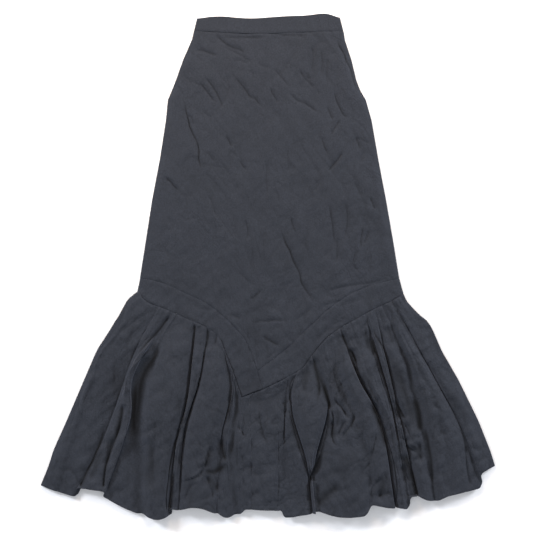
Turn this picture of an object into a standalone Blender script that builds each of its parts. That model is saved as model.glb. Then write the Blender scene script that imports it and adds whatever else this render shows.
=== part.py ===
"""A maxi skirt laid flat on a surface, front up.

The back pieces lie flat on the surface and the front pieces lie on them. Each piece of cloth is
a thin wall of its own, and the pieces meet at seams. The frame is metres, +Z up: the origin is on
the surface under the middle of the skirt's box, +Y runs to the waist and +X to the skirt's right
as it is seen. All tables and sizes below are in millimetres.
"""

import math
from collections import namedtuple

import bmesh
import bpy
import numpy as np

MM = 0.001

# Driving sizes
CLOTH = 1.2
WAISTBAND_CLOTH = 2.0
SEAM_GAP = 0.3
FLOUNCE_SEAM_GAP = 0.45
WAIST_LOFT = 3.4
BODY_LOFT = 1.8
EDGE_ROUND_WAIST = 5.0
EDGE_ROUND_BODY = 16.0
EDGE_ROUND_GROWTH = 60.0
WAIST_Y = 491.0
SIDE_SEAM_Y = -26.0
FLOUNCE_TOP_Y = -54.0
FLOUNCE_DEPTH = 420.0
BACK_FLUTES = 9
BACK_FLUTE_HEIGHT = 2.2
GATHER_HEIGHT = 1.4
GATHER_HALF_WIDTH = 3.6
STACK_START = 5.0

# Where things change along the flounce, in parts of its length from the seam to the hem
LOFT_FADE = 0.3
SEAM_FOLLOW = 0.02
SEAM_LEAVE = 0.15
DOME_GROW = 0.4
HEM_SHAPE_POWER = 4
PANEL_FOLLOW_POWER = 3

# How finely lines are drawn
LINE_STEP = 1.5
SIDE_SLOPE_RUN = 80.0
EDGE_STEPS = 25
HEM_SEARCH_STEPS = 12

CLOTH_COLOUR = (0.045, 0.050, 0.065)
CLOTH_ROUGHNESS = 0.85

# The garment's outline, one row for each level: its left and right side.
Level = namedtuple("Level", "y left right")
OUTLINE = [
    Level(529, -149, 151),
    Level(491, -155.5, 158.5),
    Level(474, -159.5, 161),
    Level(432, -178, 175),
    Level(390, -193, 185),
    Level(369, -201, 193),
    Level(348, -210, 205),
    Level(306, -214, 217),
    Level(222, -227, 231.5),
    Level(138, -243, 247.5),
    Level(54, -256, 262),
    Level(-26, -268.5, 275),
    Level(-51, -270, 281),
    Level(-58, -280, 284),
    Level(-72, -296, 290),
    Level(-98, -309, 312),
    Level(-114, -319.5, 333),
    Level(-135, -332, 346),
    Level(-177, -359, 364),
    Level(-240, -386, 400),
    Level(-324, -422, 441),
    Level(-387, -450, 466),
    Level(-419, -460, 476),
    Level(-460, -476.5, 492),
]
HEM_CORNER_LEFT = -460
HEM_CORNER_RIGHT = -419

# Seams and edges, each a smooth line through (x, y) points.
WAIST_TOP = [(-149, 519), (-105, 523), (-38, 519), (29, 523), (80, 525), (122, 529), (151, 521)]
WAIST_SEAM = [(-155.5, 493), (-38, 487), (46, 489), (130, 492), (158.5, 491)]
TIP = (-55, -275)
NOTCH = (-22, -220)
TIP_RIGHT = (-10, -258)
BAND_TOP_LEFT = [(-268.5, -26), (-246, -29), (-210, -40), (-178, -55), (-130, -78),
                 (-92, -107), (-57, -143), (-40, -170), NOTCH]
BAND_TOP_RIGHT = [NOTCH, (4, -200), (36, -176), (59, -155), (90, -124), (130, -88),
                  (176, -57), (218, -40), (275, -26)]
BAND_LOW_LEFT = [(-270, -51), (-262, -67), (-246, -79), (-218, -89), (-170, -110),
                 (-130, -128), (-103, -149), (-92, -174), (-76, -216), TIP]
BAND_LOW_RIGHT = [TIP, TIP_RIGHT, (36, -235), (71, -214), (92, -187), (120, -154),
                  (151, -130), (223, -90), (258, -74), (284, -58)]
BACK_HEM = [(-476, -460), (-401, -462), (-338, -466), (-248, -491), (-143, -500), (-38, -504),
            (67, -506), (172, -498), (277, -480), (361, -462), (439, -436), (476, -419)]
BACK_BAND_TOP = (-26, 14)
BACK_BAND_LOW = (-54, 16)

# The front flounce's folds, left to right. A fold of kind "left" or "right" stacks the cloth in
# three layers, with the edge of its top layer to that side; a "valley" is a soft groove, and
# "plain" and "seam" are lines with no fold. Each starts on the seam at seam_x, passes through two
# points and ends at the hem, whose line steps from hem_left to hem_right there. height is the
# stack's, overlap how far its layers lie on each other, grow the part of the length over which it
# opens. dome and sag are the rise and the hem's drop between it and the next row.
Fold = namedtuple("Fold", "name kind seam_x upper lower hem_x hem_left hem_right "
                          "height overlap grow dome sag")
FOLDS = [
    Fold("side groove", "valley", -244, (-315, -151), (-357, -223), -437, -474, -474, 3, 0, 0.35, 5, 0),
    Fold("outer tube left", "left", -227, (-277, -181), (-343, -342), -404, -483, -464, 8, 7, 0.6, 3, 0),
    Fold("outer tube right", "right", -204, (-288, -214), (-311, -334), -340, -470, -489, 11, 12, 0.3, 0, 2),
    Fold("deep hollow", "valley", -189, (-242, -189), (-277, -292), -275, -518, -518, 2, 0, 0.3, 9, 8),
    Fold("slim tube left", "left", -151, (-168, -248), (-193, -363), -207, -524, -508, 11, 8, 0.18, 1, 0),
    Fold("slim tube right", "right", -130, (-143, -235), (-176, -349), -188, -510, -510, 11, 7, 0.2, 9, -10),
    Fold("middle panel edge", "right", -92, (-78, -265), (-97, -365), -107, -517, -517, 10, 9, 0.4, 2, 8),
    Fold("tip hollow", "valley", -70, (-67, -304), (-78, -378), -64, -520, -520, 3, 0, 0.35, 1, 0),
    Fold("tip", "plain", -55, (-53, -350), (-50, -430), -48, -510, -510, 5, 0, 0.3, 1, 0),
    Fold("centre seam left", "seam", -38, (-37, -344), (-34, -418), -34, -509, -509, 6, 0, 0.3, 2, 0),
    Fold("centre seam right", "seam", 22, (21, -334), (21, -428), 19, -512, -512, 8, 0, 0.3, 0, 0),
    Fold("centre fold", "right", 38, (34, -344), (32, -428), 33, -512, -527, 9, 8, 0.35, 2, 1),
    Fold("diamond left", "left", 61, (46, -298), (69, -388), 88, -517, -517, 11, 8, 0.3, 5, 0),
    Fold("diamond right", "right", 90, (128, -286), (113, -391), 106, -513, -513, 10, 8, 0.35, 5, 8),
    Fold("big panel left", "left", 122, (176, -277), (238, -412), 211, -521, -498, 9, 8, 0.5, 3, 0),
    Fold("big panel right", "right", 149, (187, -227), (244, -332), 269, -505, -505, 14, 14, 0.2, 2, 0),
    Fold("ridge left", "left", 204, (235, -216), (265, -334), 295, -508, -482, 10, 8, 0.25, 1, 0),
    Fold("ridge right", "right", 219, (258, -231), (290, -376), 317, -481, -481, 9, 7, 0.35, 4, 3),
    Fold("outer groove", "valley", 247, (296, -214), (328, -323), 349, -491, -491, 3, 0, 0.3, 5, 0),
    Fold("long groove", "valley", 261, (323, -200), (374, -292), 393, -481, -481, 3, 0, 0.3, 5, 0),
    Fold("side tube left", "left", 274, (353, -210), (407, -340), 446, -466, -432, 8, 7, 0.5, 3, 0),
]
FLOUNCE_ROWS = [0, 0.03, 0.08, 0.15, 0.24, 0.35, 0.47, 0.6, 0.73, 0.87, 1]
HEM_STEP = 15.0
SEAM_STEP = 8.5

# One fold's section, from its left end to its right end, for an edge that faces right.
# gathered is each point's place where the fold is still a ripple, in half widths of the gather,
# stacked its place in overlaps where the layers lie on each other, and level its part of the height.
Station = namedtuple("Station", "gathered stacked level")
STACK = [
    Station(-1.0, -0.60, 1.00),
    Station(-0.55, 0.40, 0.97),
    Station(-0.25, 0.50, 0.76),
    Station(0.0, 0.00, 0.50),
    Station(0.25, -0.50, 0.24),
    Station(0.55, -0.40, 0.03),
    Station(1.0, 0.60, 0.00),
]
GROOVE = [Station(-1.0, -1.0, 1.0), Station(0.0, 0.0, 0.0), Station(1.0, 1.0, 1.0)]
LINE = [Station(0.0, 0.0, 1.0)]
GROOVE_HALF_WIDTH = 6.0
SIDE_DOME = 4.0

# The largest creases of the front panel: troughs between two points.
Crease = namedtuple("Crease", "start end half_width depth")
CREASES = [
    Crease((-180, 353), (-136, 206), 9, 2.0),
    Crease((-116, 480), (-25, 420), 10, 1.4),
    Crease((-141, 384), (-90, 325), 9, 1.2),
    Crease((-63, 391), (-8, 325), 9, 1.4),
    Crease((10, 409), (97, 328), 9, 1.3),
    Crease((143, 342), (181, 279), 9, 1.2),
    Crease((-107, 288), (-48, 202), 10, 1.2),
    Crease((29, 75), (90, -58), 10, 1.8),
    Crease((130, 116), (143, 31), 10, 1.2),
    Crease((212, 74), (187, 31), 9, 1.2),
]

FRONT_ROWS = 16
FRONT_COLUMNS_LEFT = 20
FRONT_COLUMNS_RIGHT = 22
BAND_ROWS = 3
BACK_COLUMNS = 14
BACK_ROWS = 10
BACK_FLOUNCE_COLUMNS = 54
BACK_FLOUNCE_ROWS = 8
WAISTBAND_COLUMNS = 18
WAISTBAND_TURN = 4
WAISTBAND_ROWS = 3


def ease(amount):
    """0 to 1 with a level start and end."""
    part = np.clip(amount, 0, 1)
    return part * part * (3 - 2 * part)


def side(level, name):
    rows = OUTLINE[::-1]
    return np.interp(level, [row.y for row in rows], [getattr(row, name) for row in rows])


def body_side(level, name):
    """The side of the body's pieces, carried on in a straight line below the side seam's end."""
    last = side(SIDE_SEAM_Y, name)
    slope = (side(SIDE_SEAM_Y + SIDE_SLOPE_RUN, name) - last) / SIDE_SLOPE_RUN
    return np.where(level < SIDE_SEAM_Y, last + slope * (level - SIDE_SEAM_Y), side(level, name))


class Line:
    """A smooth line through points, found by its length from the start."""

    def __init__(self, points):
        ends = [2 * np.subtract(points[0], 0) - points[1], 2 * np.subtract(points[-1], 0) - points[-2]]
        knots = np.array([ends[0], *points, ends[1]], float)
        pieces = []
        for before, start, end, after in zip(knots, knots[1:], knots[2:], knots[3:]):
            steps = max(2, int(np.linalg.norm(end - start) / LINE_STEP))
            t = np.linspace(0, 1, steps, endpoint=False)[:, None]
            pieces.append(0.5 * (2 * start + (end - before) * t
                                 + (2 * before - 5 * start + 4 * end - after) * t**2
                                 + (3 * start - 3 * end + after - before) * t**3))
        self.draw(np.vstack([*pieces, knots[-2]]))

    def draw(self, points):
        self.points = points
        self.lengths = np.append(0, np.cumsum(np.linalg.norm(np.diff(points, axis=0), axis=1)))
        self.length = self.lengths[-1]

    def carry_on(self, other):
        """Adds another line that starts where this one ends."""
        self.draw(np.vstack([self.points, other.points[1:]]))

    def at(self, length):
        return np.stack([np.interp(length, self.lengths, self.points[:, axis]) for axis in (0, 1)], -1)

    def length_at_x(self, x):
        return np.interp(x, self.points[:, 0], self.lengths)

    def spread(self, count, start=0.0, end=None):
        """count points, evenly apart."""
        return self.at(np.linspace(start, self.length if end is None else end, count))


def halved(points):
    """The same corners with the middle of each chord put in."""
    middles = (points[:-1] + points[1:]) / 2
    return np.vstack([np.stack([points[:-1], middles], 1).reshape(-1, 2), points[-1:]])


def pull_in(grid, edge, distance):
    """Moves one edge of a grid of (x, y) points inwards, which leaves half a seam's gap there."""
    turned = {"first_row": grid, "last_row": grid[::-1],
              "first_column": grid.swapaxes(0, 1), "last_column": grid.swapaxes(0, 1)[::-1]}[edge]
    along = np.gradient(turned[0], axis=0)
    across = np.stack([-along[:, 1], along[:, 0]], 1)
    across /= np.linalg.norm(across, axis=1)[:, None]
    inwards = np.sign(np.sum(across * (turned[1] - turned[0]), axis=1))[:, None]
    turned[0] += across * inwards * distance


def back_lift(x, y):
    """How far the low flutes of the back flounce stand off the surface."""
    across = (x - side(y, "left")) / (side(y, "right") - side(y, "left"))
    open_part = ease((FLOUNCE_TOP_Y - y) / FLOUNCE_DEPTH)
    wave = 0.5 - 0.5 * np.cos(2 * math.pi * BACK_FLUTES * np.clip(across, 0, 1))
    return BACK_FLUTE_HEIGHT * open_part * wave


def loft(x, y):
    """How far the front cloth stands off the back: round at the sides, nearly level between."""
    room = np.minimum(x - side(y, "left"), side(y, "right") - x)
    below_waist = ease((WAIST_Y - y) / EDGE_ROUND_GROWTH)
    edge = EDGE_ROUND_WAIST + (EDGE_ROUND_BODY - EDGE_ROUND_WAIST) * below_waist
    middle = np.sin(math.pi * np.clip((WAIST_Y - y) / (WAIST_Y - FLOUNCE_TOP_Y), 0, 1))
    return (WAIST_LOFT + BODY_LOFT * middle) * np.sin(math.pi / 2 * np.clip(room / edge, 0, 1))


def crease_depth(x, y):
    depth = 0
    for crease in CREASES:
        start = np.array(crease.start, float)
        run = np.subtract(crease.end, crease.start)
        part = ((x - start[0]) * run[0] + (y - start[1]) * run[1]) / (run @ run)
        near = np.clip(part, 0, 1)
        away = np.hypot(x - start[0] - near * run[0], y - start[1] - near * run[1])
        fade = ease(4 * near) * ease(4 * (1 - near))
        depth = depth + crease.depth * fade * np.exp(-(away / crease.half_width) ** 2)
    return depth


def front_height(x, y):
    """The middle of the front cloth's wall where it isn't folded."""
    return CLOTH + back_lift(x, y) + SEAM_GAP + CLOTH / 2 + loft(x, y)


def cloth_material(name):
    material = bpy.data.materials.new(name)
    material.use_nodes = True
    shader = material.node_tree.nodes["Principled BSDF"]
    shader.inputs["Base Color"].default_value = (*CLOTH_COLOUR, 1)
    shader.inputs["Roughness"].default_value = CLOTH_ROUGHNESS
    shader.inputs["Metallic"].default_value = 0
    return material


def cloth(name, plan, heights, wall, closed=False):
    """A wall of cloth whose middle runs through a grid of points, in rows."""
    rows, columns = heights.shape
    mesh = bpy.data.meshes.new(name)
    shape = bmesh.new()
    bmesh.ops.create_grid(shape, x_segments=columns - 1, y_segments=rows - 1, size=1)
    points = np.concatenate([plan, heights[:, :, None]], axis=2).reshape(-1, 3) * MM
    for vertex, point in zip(shape.verts, points):
        vertex.co = point
    if closed:
        bmesh.ops.remove_doubles(shape, verts=shape.verts, dist=1e-6)
    bmesh.ops.recalc_face_normals(shape, faces=shape.faces)
    shape.to_mesh(mesh)
    shape.free()
    mesh.shade_smooth()
    mesh.materials.append(cloth_material(name))
    piece = bpy.data.objects.new(name, mesh)
    bpy.context.scene.collection.objects.link(piece)
    thickness = piece.modifiers.new("wall", "SOLIDIFY")
    thickness.thickness = wall * MM
    thickness.offset = 0


def blend_rows(top, bottom, rows):
    """A grid in straight lines from each top point to its bottom point."""
    down = np.linspace(0, 1, rows + 1)[:, None, None]
    return top[None] * (1 - down) + bottom[None] * down


def panel_plan(top_line, bottom, rows):
    """The plan of a body panel, whose columns follow the sides from the waist to the bottom line."""
    across = np.append(0, np.cumsum(np.linalg.norm(np.diff(bottom, axis=0), axis=1)))
    across /= across[-1]
    top = top_line.at(across * top_line.length)
    ends = (bottom[:, 0] - body_side(bottom[:, 1], "left"))
    ends /= body_side(bottom[:, 1], "right") - body_side(bottom[:, 1], "left")
    down = np.linspace(0, 1, rows + 1)[:, None]
    y = top[:, 1] * (1 - down) + bottom[:, 1] * down
    share = across + (ends - across) * down**2
    x = body_side(y, "left") * (1 - share) + body_side(y, "right") * share
    plan = np.stack([x, y], axis=2)
    pull_in(plan, "first_row", SEAM_GAP / 2)
    pull_in(plan, "last_row", SEAM_GAP / 2)
    return plan


def make_waistband():
    """One strip closed to a ring and pressed flat, its ends turned round at the sides."""
    top_line = Line(WAIST_TOP)
    seam_line = Line(WAIST_SEAM)
    low = WAISTBAND_CLOTH / 2
    high = CLOTH + SEAM_GAP + CLOTH / 2 + WAIST_LOFT
    radius = (high - low) / 2
    straight = np.linspace(0, 1, WAISTBAND_COLUMNS)
    turn = np.linspace(-math.pi / 2, math.pi / 2, WAISTBAND_TURN + 2)[1:-1]
    out = np.concatenate([0 * straight, np.cos(turn), 0 * straight, -np.cos(turn), [0]])
    level = np.concatenate([-1 + 0 * straight, np.sin(turn), 1 + 0 * straight, -np.sin(turn), [-1]])
    share = np.concatenate([straight, 1 + 0 * turn, straight[::-1], 0 * turn, [0]])
    rows = []
    for up in np.linspace(0, 1, WAISTBAND_ROWS + 1):
        ends = [seam_line.length * share, top_line.length * share]
        row = seam_line.at(ends[0]) * (1 - up) + top_line.at(ends[1]) * up
        middle = row[:, 0].mean()
        inside = (row[:, 0] - middle) * (1 - (radius + low) / (row[:, 0].max() - middle)) + middle
        rows.append(np.stack([inside + out * radius, row[:, 1]], axis=1))
    plan = np.array(rows)
    plan[0, :, 1] += SEAM_GAP
    heights = np.tile(low + radius * (1 + level), (len(rows), 1))
    cloth("waistband", plan, heights, WAISTBAND_CLOTH, closed=True)


def back_seam(seam, count):
    """A plain, slightly bowed seam across the back, from side to side."""
    end_y, bow = seam
    across = np.linspace(0, 1, count + 1)
    y = end_y - bow * (1 - (2 * across - 1) ** 2)
    x = side(y, "left") * (1 - across) + side(y, "right") * across
    return np.stack([x, y], axis=1)


def make_back():
    panel = panel_plan(Line(WAIST_SEAM), back_seam(BACK_BAND_TOP, BACK_COLUMNS), BACK_ROWS)
    cloth("back_panel", panel, np.full(panel.shape[:2], CLOTH / 2), CLOTH)

    low = back_seam(BACK_BAND_LOW, BACK_FLOUNCE_COLUMNS)
    band = blend_rows(back_seam(BACK_BAND_TOP, BACK_FLOUNCE_COLUMNS), low, 2)
    pull_in(band, "first_row", SEAM_GAP / 2)
    pull_in(band, "last_row", SEAM_GAP / 2)
    cloth("back_band", band, CLOTH / 2 + back_lift(band[..., 0], band[..., 1]), CLOTH)

    hem = np.array(BACK_HEM, float)
    across = np.linspace(0, 1, BACK_FLOUNCE_COLUMNS + 1)
    hem_y = np.full(across.shape, hem[:, 1].mean())
    for _ in range(HEM_SEARCH_STEPS):
        hem_x = side(hem_y, "left") * (1 - across) + side(hem_y, "right") * across
        hem_y = np.interp(hem_x, hem[:, 0], hem[:, 1])
    down = np.linspace(0, 1, BACK_FLOUNCE_ROWS + 1)[:, None]
    y = low[:, 1] * (1 - down) + hem_y * down
    x = side(y, "left") * (1 - across) + side(y, "right") * across
    flounce = np.stack([x, y], axis=2)
    pull_in(flounce, "first_row", SEAM_GAP / 2)
    cloth("back_flounce", flounce, CLOTH / 2 + back_lift(flounce[..., 0], flounce[..., 1]), CLOTH)


def make_front():
    """The front panel with its pointed end, and the two strips of the band below it."""
    left = Line(BAND_TOP_LEFT).spread(FRONT_COLUMNS_LEFT + 1)
    right = Line(BAND_TOP_RIGHT).spread(FRONT_COLUMNS_RIGHT + 1)
    panel = panel_plan(Line(WAIST_SEAM), np.vstack([left, right[1:]]), FRONT_ROWS)
    x, y = panel[..., 0], panel[..., 1]
    cloth("front_panel", panel, front_height(x, y) - crease_depth(x, y), CLOTH)

    through = np.linspace(NOTCH, TIP_RIGHT, BAND_ROWS + 1)[1:]
    top = np.vstack([halved(left), through])
    strip = blend_rows(top, Line(BAND_LOW_LEFT).spread(len(top)), BAND_ROWS)
    for edge in ("first_row", "last_row", "last_column"):
        pull_in(strip, edge, SEAM_GAP / 2)
    cloth("front_band_left", strip, front_height(strip[..., 0], strip[..., 1]), CLOTH)

    low = Line(BAND_LOW_RIGHT)
    top = halved(right)
    strip = blend_rows(top, low.spread(len(top), low.length_at_x(TIP_RIGHT[0])), BAND_ROWS)
    for edge in ("first_row", "last_row", "first_column"):
        pull_in(strip, edge, SEAM_GAP / 2)
    cloth("front_band_right", strip, front_height(strip[..., 0], strip[..., 1]), CLOTH)


def fold_columns(fold, seam, rows):
    """The plan and the height above the back of each column through one fold."""
    path = Line([seam.at(seam.length_at_x(fold.seam_x)), fold.upper, fold.lower,
                 (fold.hem_x, (fold.hem_left + fold.hem_right) / 2)])
    start = seam.length_at_x(fold.seam_x)
    opened = ease(rows / fold.grow)
    height = GATHER_HEIGHT + (fold.height - GATHER_HEIGHT) * opened
    stations = {"valley": GROOVE, "plain": LINE, "seam": LINE}.get(fold.kind, STACK)
    if fold.kind == "left":
        stations = [Station(-s.gathered, -s.stacked, s.level) for s in STACK[::-1]]
    stacked = ease((height - STACK_START) / (fold.height - STACK_START)) if fold.overlap else opened
    width = fold.overlap or GROOVE_HALF_WIDTH
    centre = path.at(rows * path.length)
    columns = []
    for index, station in enumerate(stations):
        gathered = station.gathered * GATHER_HALF_WIDTH
        shift = gathered * (1 - stacked) + station.stacked * width * stacked
        on_seam = seam.at(start + gathered) - seam.at(start)
        left_seam = ease((rows - SEAM_FOLLOW) / (SEAM_LEAVE - SEAM_FOLLOW))
        plan = centre + on_seam * (1 - left_seam)[:, None]
        plan[:, 0] += shift * left_seam
        step = fold.hem_right - fold.hem_left
        part = index / (len(stations) - 1) - 0.5 if len(stations) > 1 else 0
        plan[:, 1] += step * part * rows**HEM_SHAPE_POWER
        columns.append((start + gathered, plan, height * station.level))
    return columns


def between(first, last, count, dome, sag, seam, rows):
    """Columns over the cloth between two folds, which rises by dome and drops the hem by sag."""
    start, start_plan, start_height = first
    end, end_plan, end_height = last
    columns = []
    for share in np.linspace(0, 1, count + 2)[1:-1]:
        level = ease(share)
        length = start + (end - start) * share
        plan = start_plan * (1 - share) + end_plan * share
        plan = plan + (seam.at(length) - plan[0]) * ((1 - rows) ** PANEL_FOLLOW_POWER)[:, None]
        plan[:, 1] -= sag * math.sin(math.pi * share) * rows**HEM_SHAPE_POWER
        rise = dome * math.sin(math.pi * share) * ease(rows / DOME_GROW)
        columns.append((length, plan, start_height * (1 - level) + end_height * level + rise))
    return columns


def edge_column(seam, name, corner_y, rows):
    """A side edge of the flounce, from the seam's end to the hem's corner."""
    length = 0 if name == "left" else seam.length
    start = seam.at(length)
    levels = np.linspace(start[1], corner_y, EDGE_STEPS)
    line = Line(np.stack([side(levels, name), levels], axis=1))
    line.points[0] = start
    return length, line.at(rows * line.length), 0 * rows


def flounce_columns(seam, rows):
    """All columns of the front flounce, in three groups that its two seams part."""
    groups = [[edge_column(seam, "left", HEM_CORNER_LEFT, rows)]]
    dome, sag = SIDE_DOME, 0
    for fold in [*FOLDS, None]:
        if fold:
            columns = fold_columns(fold, seam, rows)
        else:
            columns = [edge_column(seam, "right", HEM_CORNER_RIGHT, rows)]
        last, first = groups[-1][-1], columns[0]
        hem_span = abs(first[1][-1][0] - last[1][-1][0])
        count = math.ceil(max(hem_span / HEM_STEP, (first[0] - last[0]) / SEAM_STEP)) - 1
        groups[-1] += between(last, first, max(count, 0), dome, sag, seam, rows) + columns
        if fold and fold.kind == "seam":
            groups.append([columns[0]])
        if fold:
            dome, sag = fold.dome, fold.sag
    return groups


def make_front_flounce():
    seam = Line(BAND_LOW_LEFT)
    seam.carry_on(Line(BAND_LOW_RIGHT))
    rows = np.array(FLOUNCE_ROWS)
    names = ("front_flounce_left", "front_flounce_centre", "front_flounce_right")
    for name, columns in zip(names, flounce_columns(seam, rows)):
        plan = np.stack([column[1] for column in columns], axis=1)
        folded = np.stack([column[2] for column in columns], axis=1)
        pull_in(plan, "first_row", FLOUNCE_SEAM_GAP - SEAM_GAP / 2)
        if name != "front_flounce_left":
            plan[:, 0, 0] += SEAM_GAP / 2
        if name != "front_flounce_right":
            plan[:, -1, 0] -= SEAM_GAP / 2
        x, y = plan[..., 0], plan[..., 1]
        lofted = loft(x, y) * (1 - ease(rows / LOFT_FADE))[:, None]
        heights = front_height(x, y) - loft(x, y) + lofted + folded
        cloth(name, plan, heights, CLOTH)


def main():
    for old in list(bpy.data.objects):
        bpy.data.objects.remove(old, do_unlink=True)
    make_waistband()
    make_back()
    make_front()
    make_front_flounce()


main()
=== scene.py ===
"""Looks of a maxi skirt laid flat, front up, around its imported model.

Each piece of cloth is a fine shell on its solid's form: the same outline, seams and folds, then its
creases, gathers and hem. Tables and sizes are in millimetres, but for the room's and the cuts', and
meshes are made in metres.
"""

import math
from collections import namedtuple

import bmesh
import bpy
import numpy as np
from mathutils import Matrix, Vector, noise


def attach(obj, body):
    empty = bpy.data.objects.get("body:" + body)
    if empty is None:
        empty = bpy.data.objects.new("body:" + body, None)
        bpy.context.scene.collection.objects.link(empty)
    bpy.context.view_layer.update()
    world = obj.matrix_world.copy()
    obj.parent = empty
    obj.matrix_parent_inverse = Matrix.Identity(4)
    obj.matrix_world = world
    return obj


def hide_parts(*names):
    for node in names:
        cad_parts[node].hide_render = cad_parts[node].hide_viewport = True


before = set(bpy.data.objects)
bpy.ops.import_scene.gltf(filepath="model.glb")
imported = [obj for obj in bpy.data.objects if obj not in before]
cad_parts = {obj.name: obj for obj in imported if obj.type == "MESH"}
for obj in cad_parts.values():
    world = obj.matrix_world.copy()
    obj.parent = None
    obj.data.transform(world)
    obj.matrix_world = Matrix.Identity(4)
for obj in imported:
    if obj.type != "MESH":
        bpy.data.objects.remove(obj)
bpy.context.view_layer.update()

MM = 0.001

# The photograph, in pixels, and its camera and floor: CAMERA_HEIGHT and FLOOR_HALF are in metres
PHOTO_SIDE = 533
MM_PER_PIXEL = 2.1
PHOTO_CENTRE = (268, 266)
CAMERA_HEIGHT = 2.6
SENSOR = 36.0
FLOOR_HALF = 6.0

# The cloth's walls and seams, in the solids and as shown
CLOTH = 1.2
WAISTBAND_CLOTH = 2.0
SEAM_GAP = 0.3
SHOWN_CLOTH = 0.9
WAISTBAND_SHOWN = 1.8
SHUT_SEAM_GAP = 0.1

# How far the front stands off the back, and how it lies down at the sides
WAIST_Y = 491.0
SIDE_SEAM_Y = -26.0
SIDE_SLOPE_RUN = 80.0
FLOUNCE_TOP_Y = -54.0
FLOUNCE_DEPTH = 420.0
WAIST_LOFT = 3.4
BODY_LOFT = 1.8
EDGE_ROUND_WAIST = 5.0
EDGE_ROUND_BODY = 16.0
EDGE_ROUND_GROWTH = 60.0
LOFT_FADE = 0.3
SIDE_FADE = 14.0
BACK_FLUTES = 9
BACK_FLUTE_HEIGHT = 2.2
FLOUNCE_HEIGHT = 1.5
LEAST_CLEARANCE = 0.25
LIE_FLAT = 3.0
TOP_START = 20.0
TOP_ROOM = 8.5

# The flounce's gathers and folds: what runs, grows, follows or leaves does so over these shares of the
# way from the seam to the hem, or with these powers of it
GATHER_HEIGHT = 1.4
GATHER_HALF_WIDTH = 3.6
GATHER_REACH = 26.0
GATHER_START = 5.0
STACK_START = 5.0
LOW_RUN = 0.25
LOW_LEVEL = 0.75
AGAIN_RUN = 0.06
SEAM_FOLLOW = 0.02
SEAM_LEAVE = 0.15
DOME_GROW = 0.4
DOME_ROUND = 0.45
QUICK_RISE = 0.6
RIPPLE_GROW = 0.2
HEM_SHAPE_POWER = 4
PANEL_FOLLOW_POWER = 3
FLOUNCE_FOLLOW_POWER = 6

# Seams and the hem: how the cloth rolls in, puffs and puckers beside them
SEAM_ROLL = 0.9
SEAM_ROLL_WIDTH = 1.8
SEAM_UNEVEN = 0.6
SEAM_PUFF = 0.45
SEAM_PUFF_AT = 6.0
SEAM_PUFF_WIDTH = 4.0
PUCKER_REACH = 8.0
PUCKER_START = 3.0
HEM_TURN = 9.0
HEM_TURN_RISE = 0.5
HEM_LINE = 0.6
HEM_LINE_WIDTH = 1.2
WAISTBAND_SEAM = 0.7
WAISTBAND_CRUMPLE = 0.5
WAISTBAND_PATTERN = (1.6, 0.9)
BACK_CRUMPLE = 0.5
BACK_PANEL_CRUMPLE = 1.4
BACK_PATTERN_SHIFT = 700.0

# How far apart the points of lines and of shells are, how many a row takes, and about how long the
# columns are
LINE_STEP = 1.5
LINE_SAMPLES = 6
EDGE_STEPS = 25
HEM_SEARCH_STEPS = 12
HEM_STEP = 15.0
SEAM_STEP = 8.5
FINE_STEP = 2.2
FINE_ROW_STEP = 3.2
BODY_STEP = 3.35
BODY_ROW_STEP = 3.15
BACK_STEP = 5.5
BACK_BAND_STEP = 5.0
WAISTBAND_STEP = 3.0
TIGHT_ROWS = (0.9, 2.0, 3.6, 5.6)
WAISTBAND_ROWS = (0.8, 2.0, 3.4)
BACK_BAND_ROWS = (0.9, 2.4)
WAISTBAND_POINTS = 90
WAISTBAND_TURN_POINTS = 9
PANEL_SPANS = 100
FLOUNCE_SPANS = 180
BUTT_POINTS = 11
WAISTBAND_WIDTH = 32.0
FRONT_PANEL_LENGTH = 710.0
BACK_PANEL_LENGTH = 520.0
BAND_WIDTH = 44.0
BACK_BAND_WIDTH = 30.0
FLOUNCE_LENGTH = 400.0
BACK_FLOUNCE_LENGTH = 430.0

# The skirt's outline from the waist to the hem, and its hem's corners
Level = namedtuple("Level", "y left right")
OUTLINE = [Level(*row) for row in (
    (529, -149, 151), (491, -155.5, 158.5), (474, -159.5, 161), (432, -178, 175), (390, -193, 185),
    (369, -201, 193), (348, -210, 205), (306, -214, 217), (222, -227, 231.5), (138, -243, 247.5),
    (54, -256, 262), (-26, -268.5, 275), (-51, -270, 281), (-58, -280, 284), (-72, -296, 290),
    (-98, -309, 312), (-114, -319.5, 333), (-135, -332, 346), (-177, -359, 364), (-240, -386, 400),
    (-324, -422, 441), (-387, -450, 466), (-419, -460, 476), (-460, -476.5, 492),
)]
HEM_CORNER_LEFT = -460
HEM_CORNER_RIGHT = -419

WAIST_TOP = [(-149, 519), (-105, 523), (-38, 519), (29, 523), (80, 525), (122, 529), (151, 521)]
WAIST_SEAM = [(-155.5, 493), (-38, 487), (46, 489), (130, 492), (158.5, 491)]
TIP = (-55, -275)
NOTCH = (-22, -220)
TIP_RIGHT = (-10, -258)
BAND_TOP_LEFT = [(-268.5, -26), (-246, -29), (-210, -40), (-178, -55), (-130, -78),
                 (-92, -107), (-57, -143), (-40, -170), NOTCH]
BAND_TOP_RIGHT = [NOTCH, (4, -200), (36, -176), (59, -155), (90, -124), (130, -88),
                  (176, -57), (218, -40), (275, -26)]
BAND_LOW_LEFT = [(-270, -51), (-262, -67), (-246, -79), (-218, -89), (-170, -110),
                 (-130, -128), (-103, -149), (-92, -174), (-76, -216), TIP]
BAND_LOW_RIGHT = [TIP, TIP_RIGHT, (36, -235), (71, -214), (92, -187), (120, -154),
                  (151, -130), (223, -90), (258, -74), (284, -58)]
BACK_HEM = [(-476, -460), (-401, -462), (-338, -466), (-248, -491), (-143, -500), (-38, -504),
            (67, -506), (172, -498), (277, -480), (361, -462), (439, -436), (476, -419)]
BACK_BAND_TOP = (-26, 14)
BACK_BAND_LOW = (-54, 16)

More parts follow.
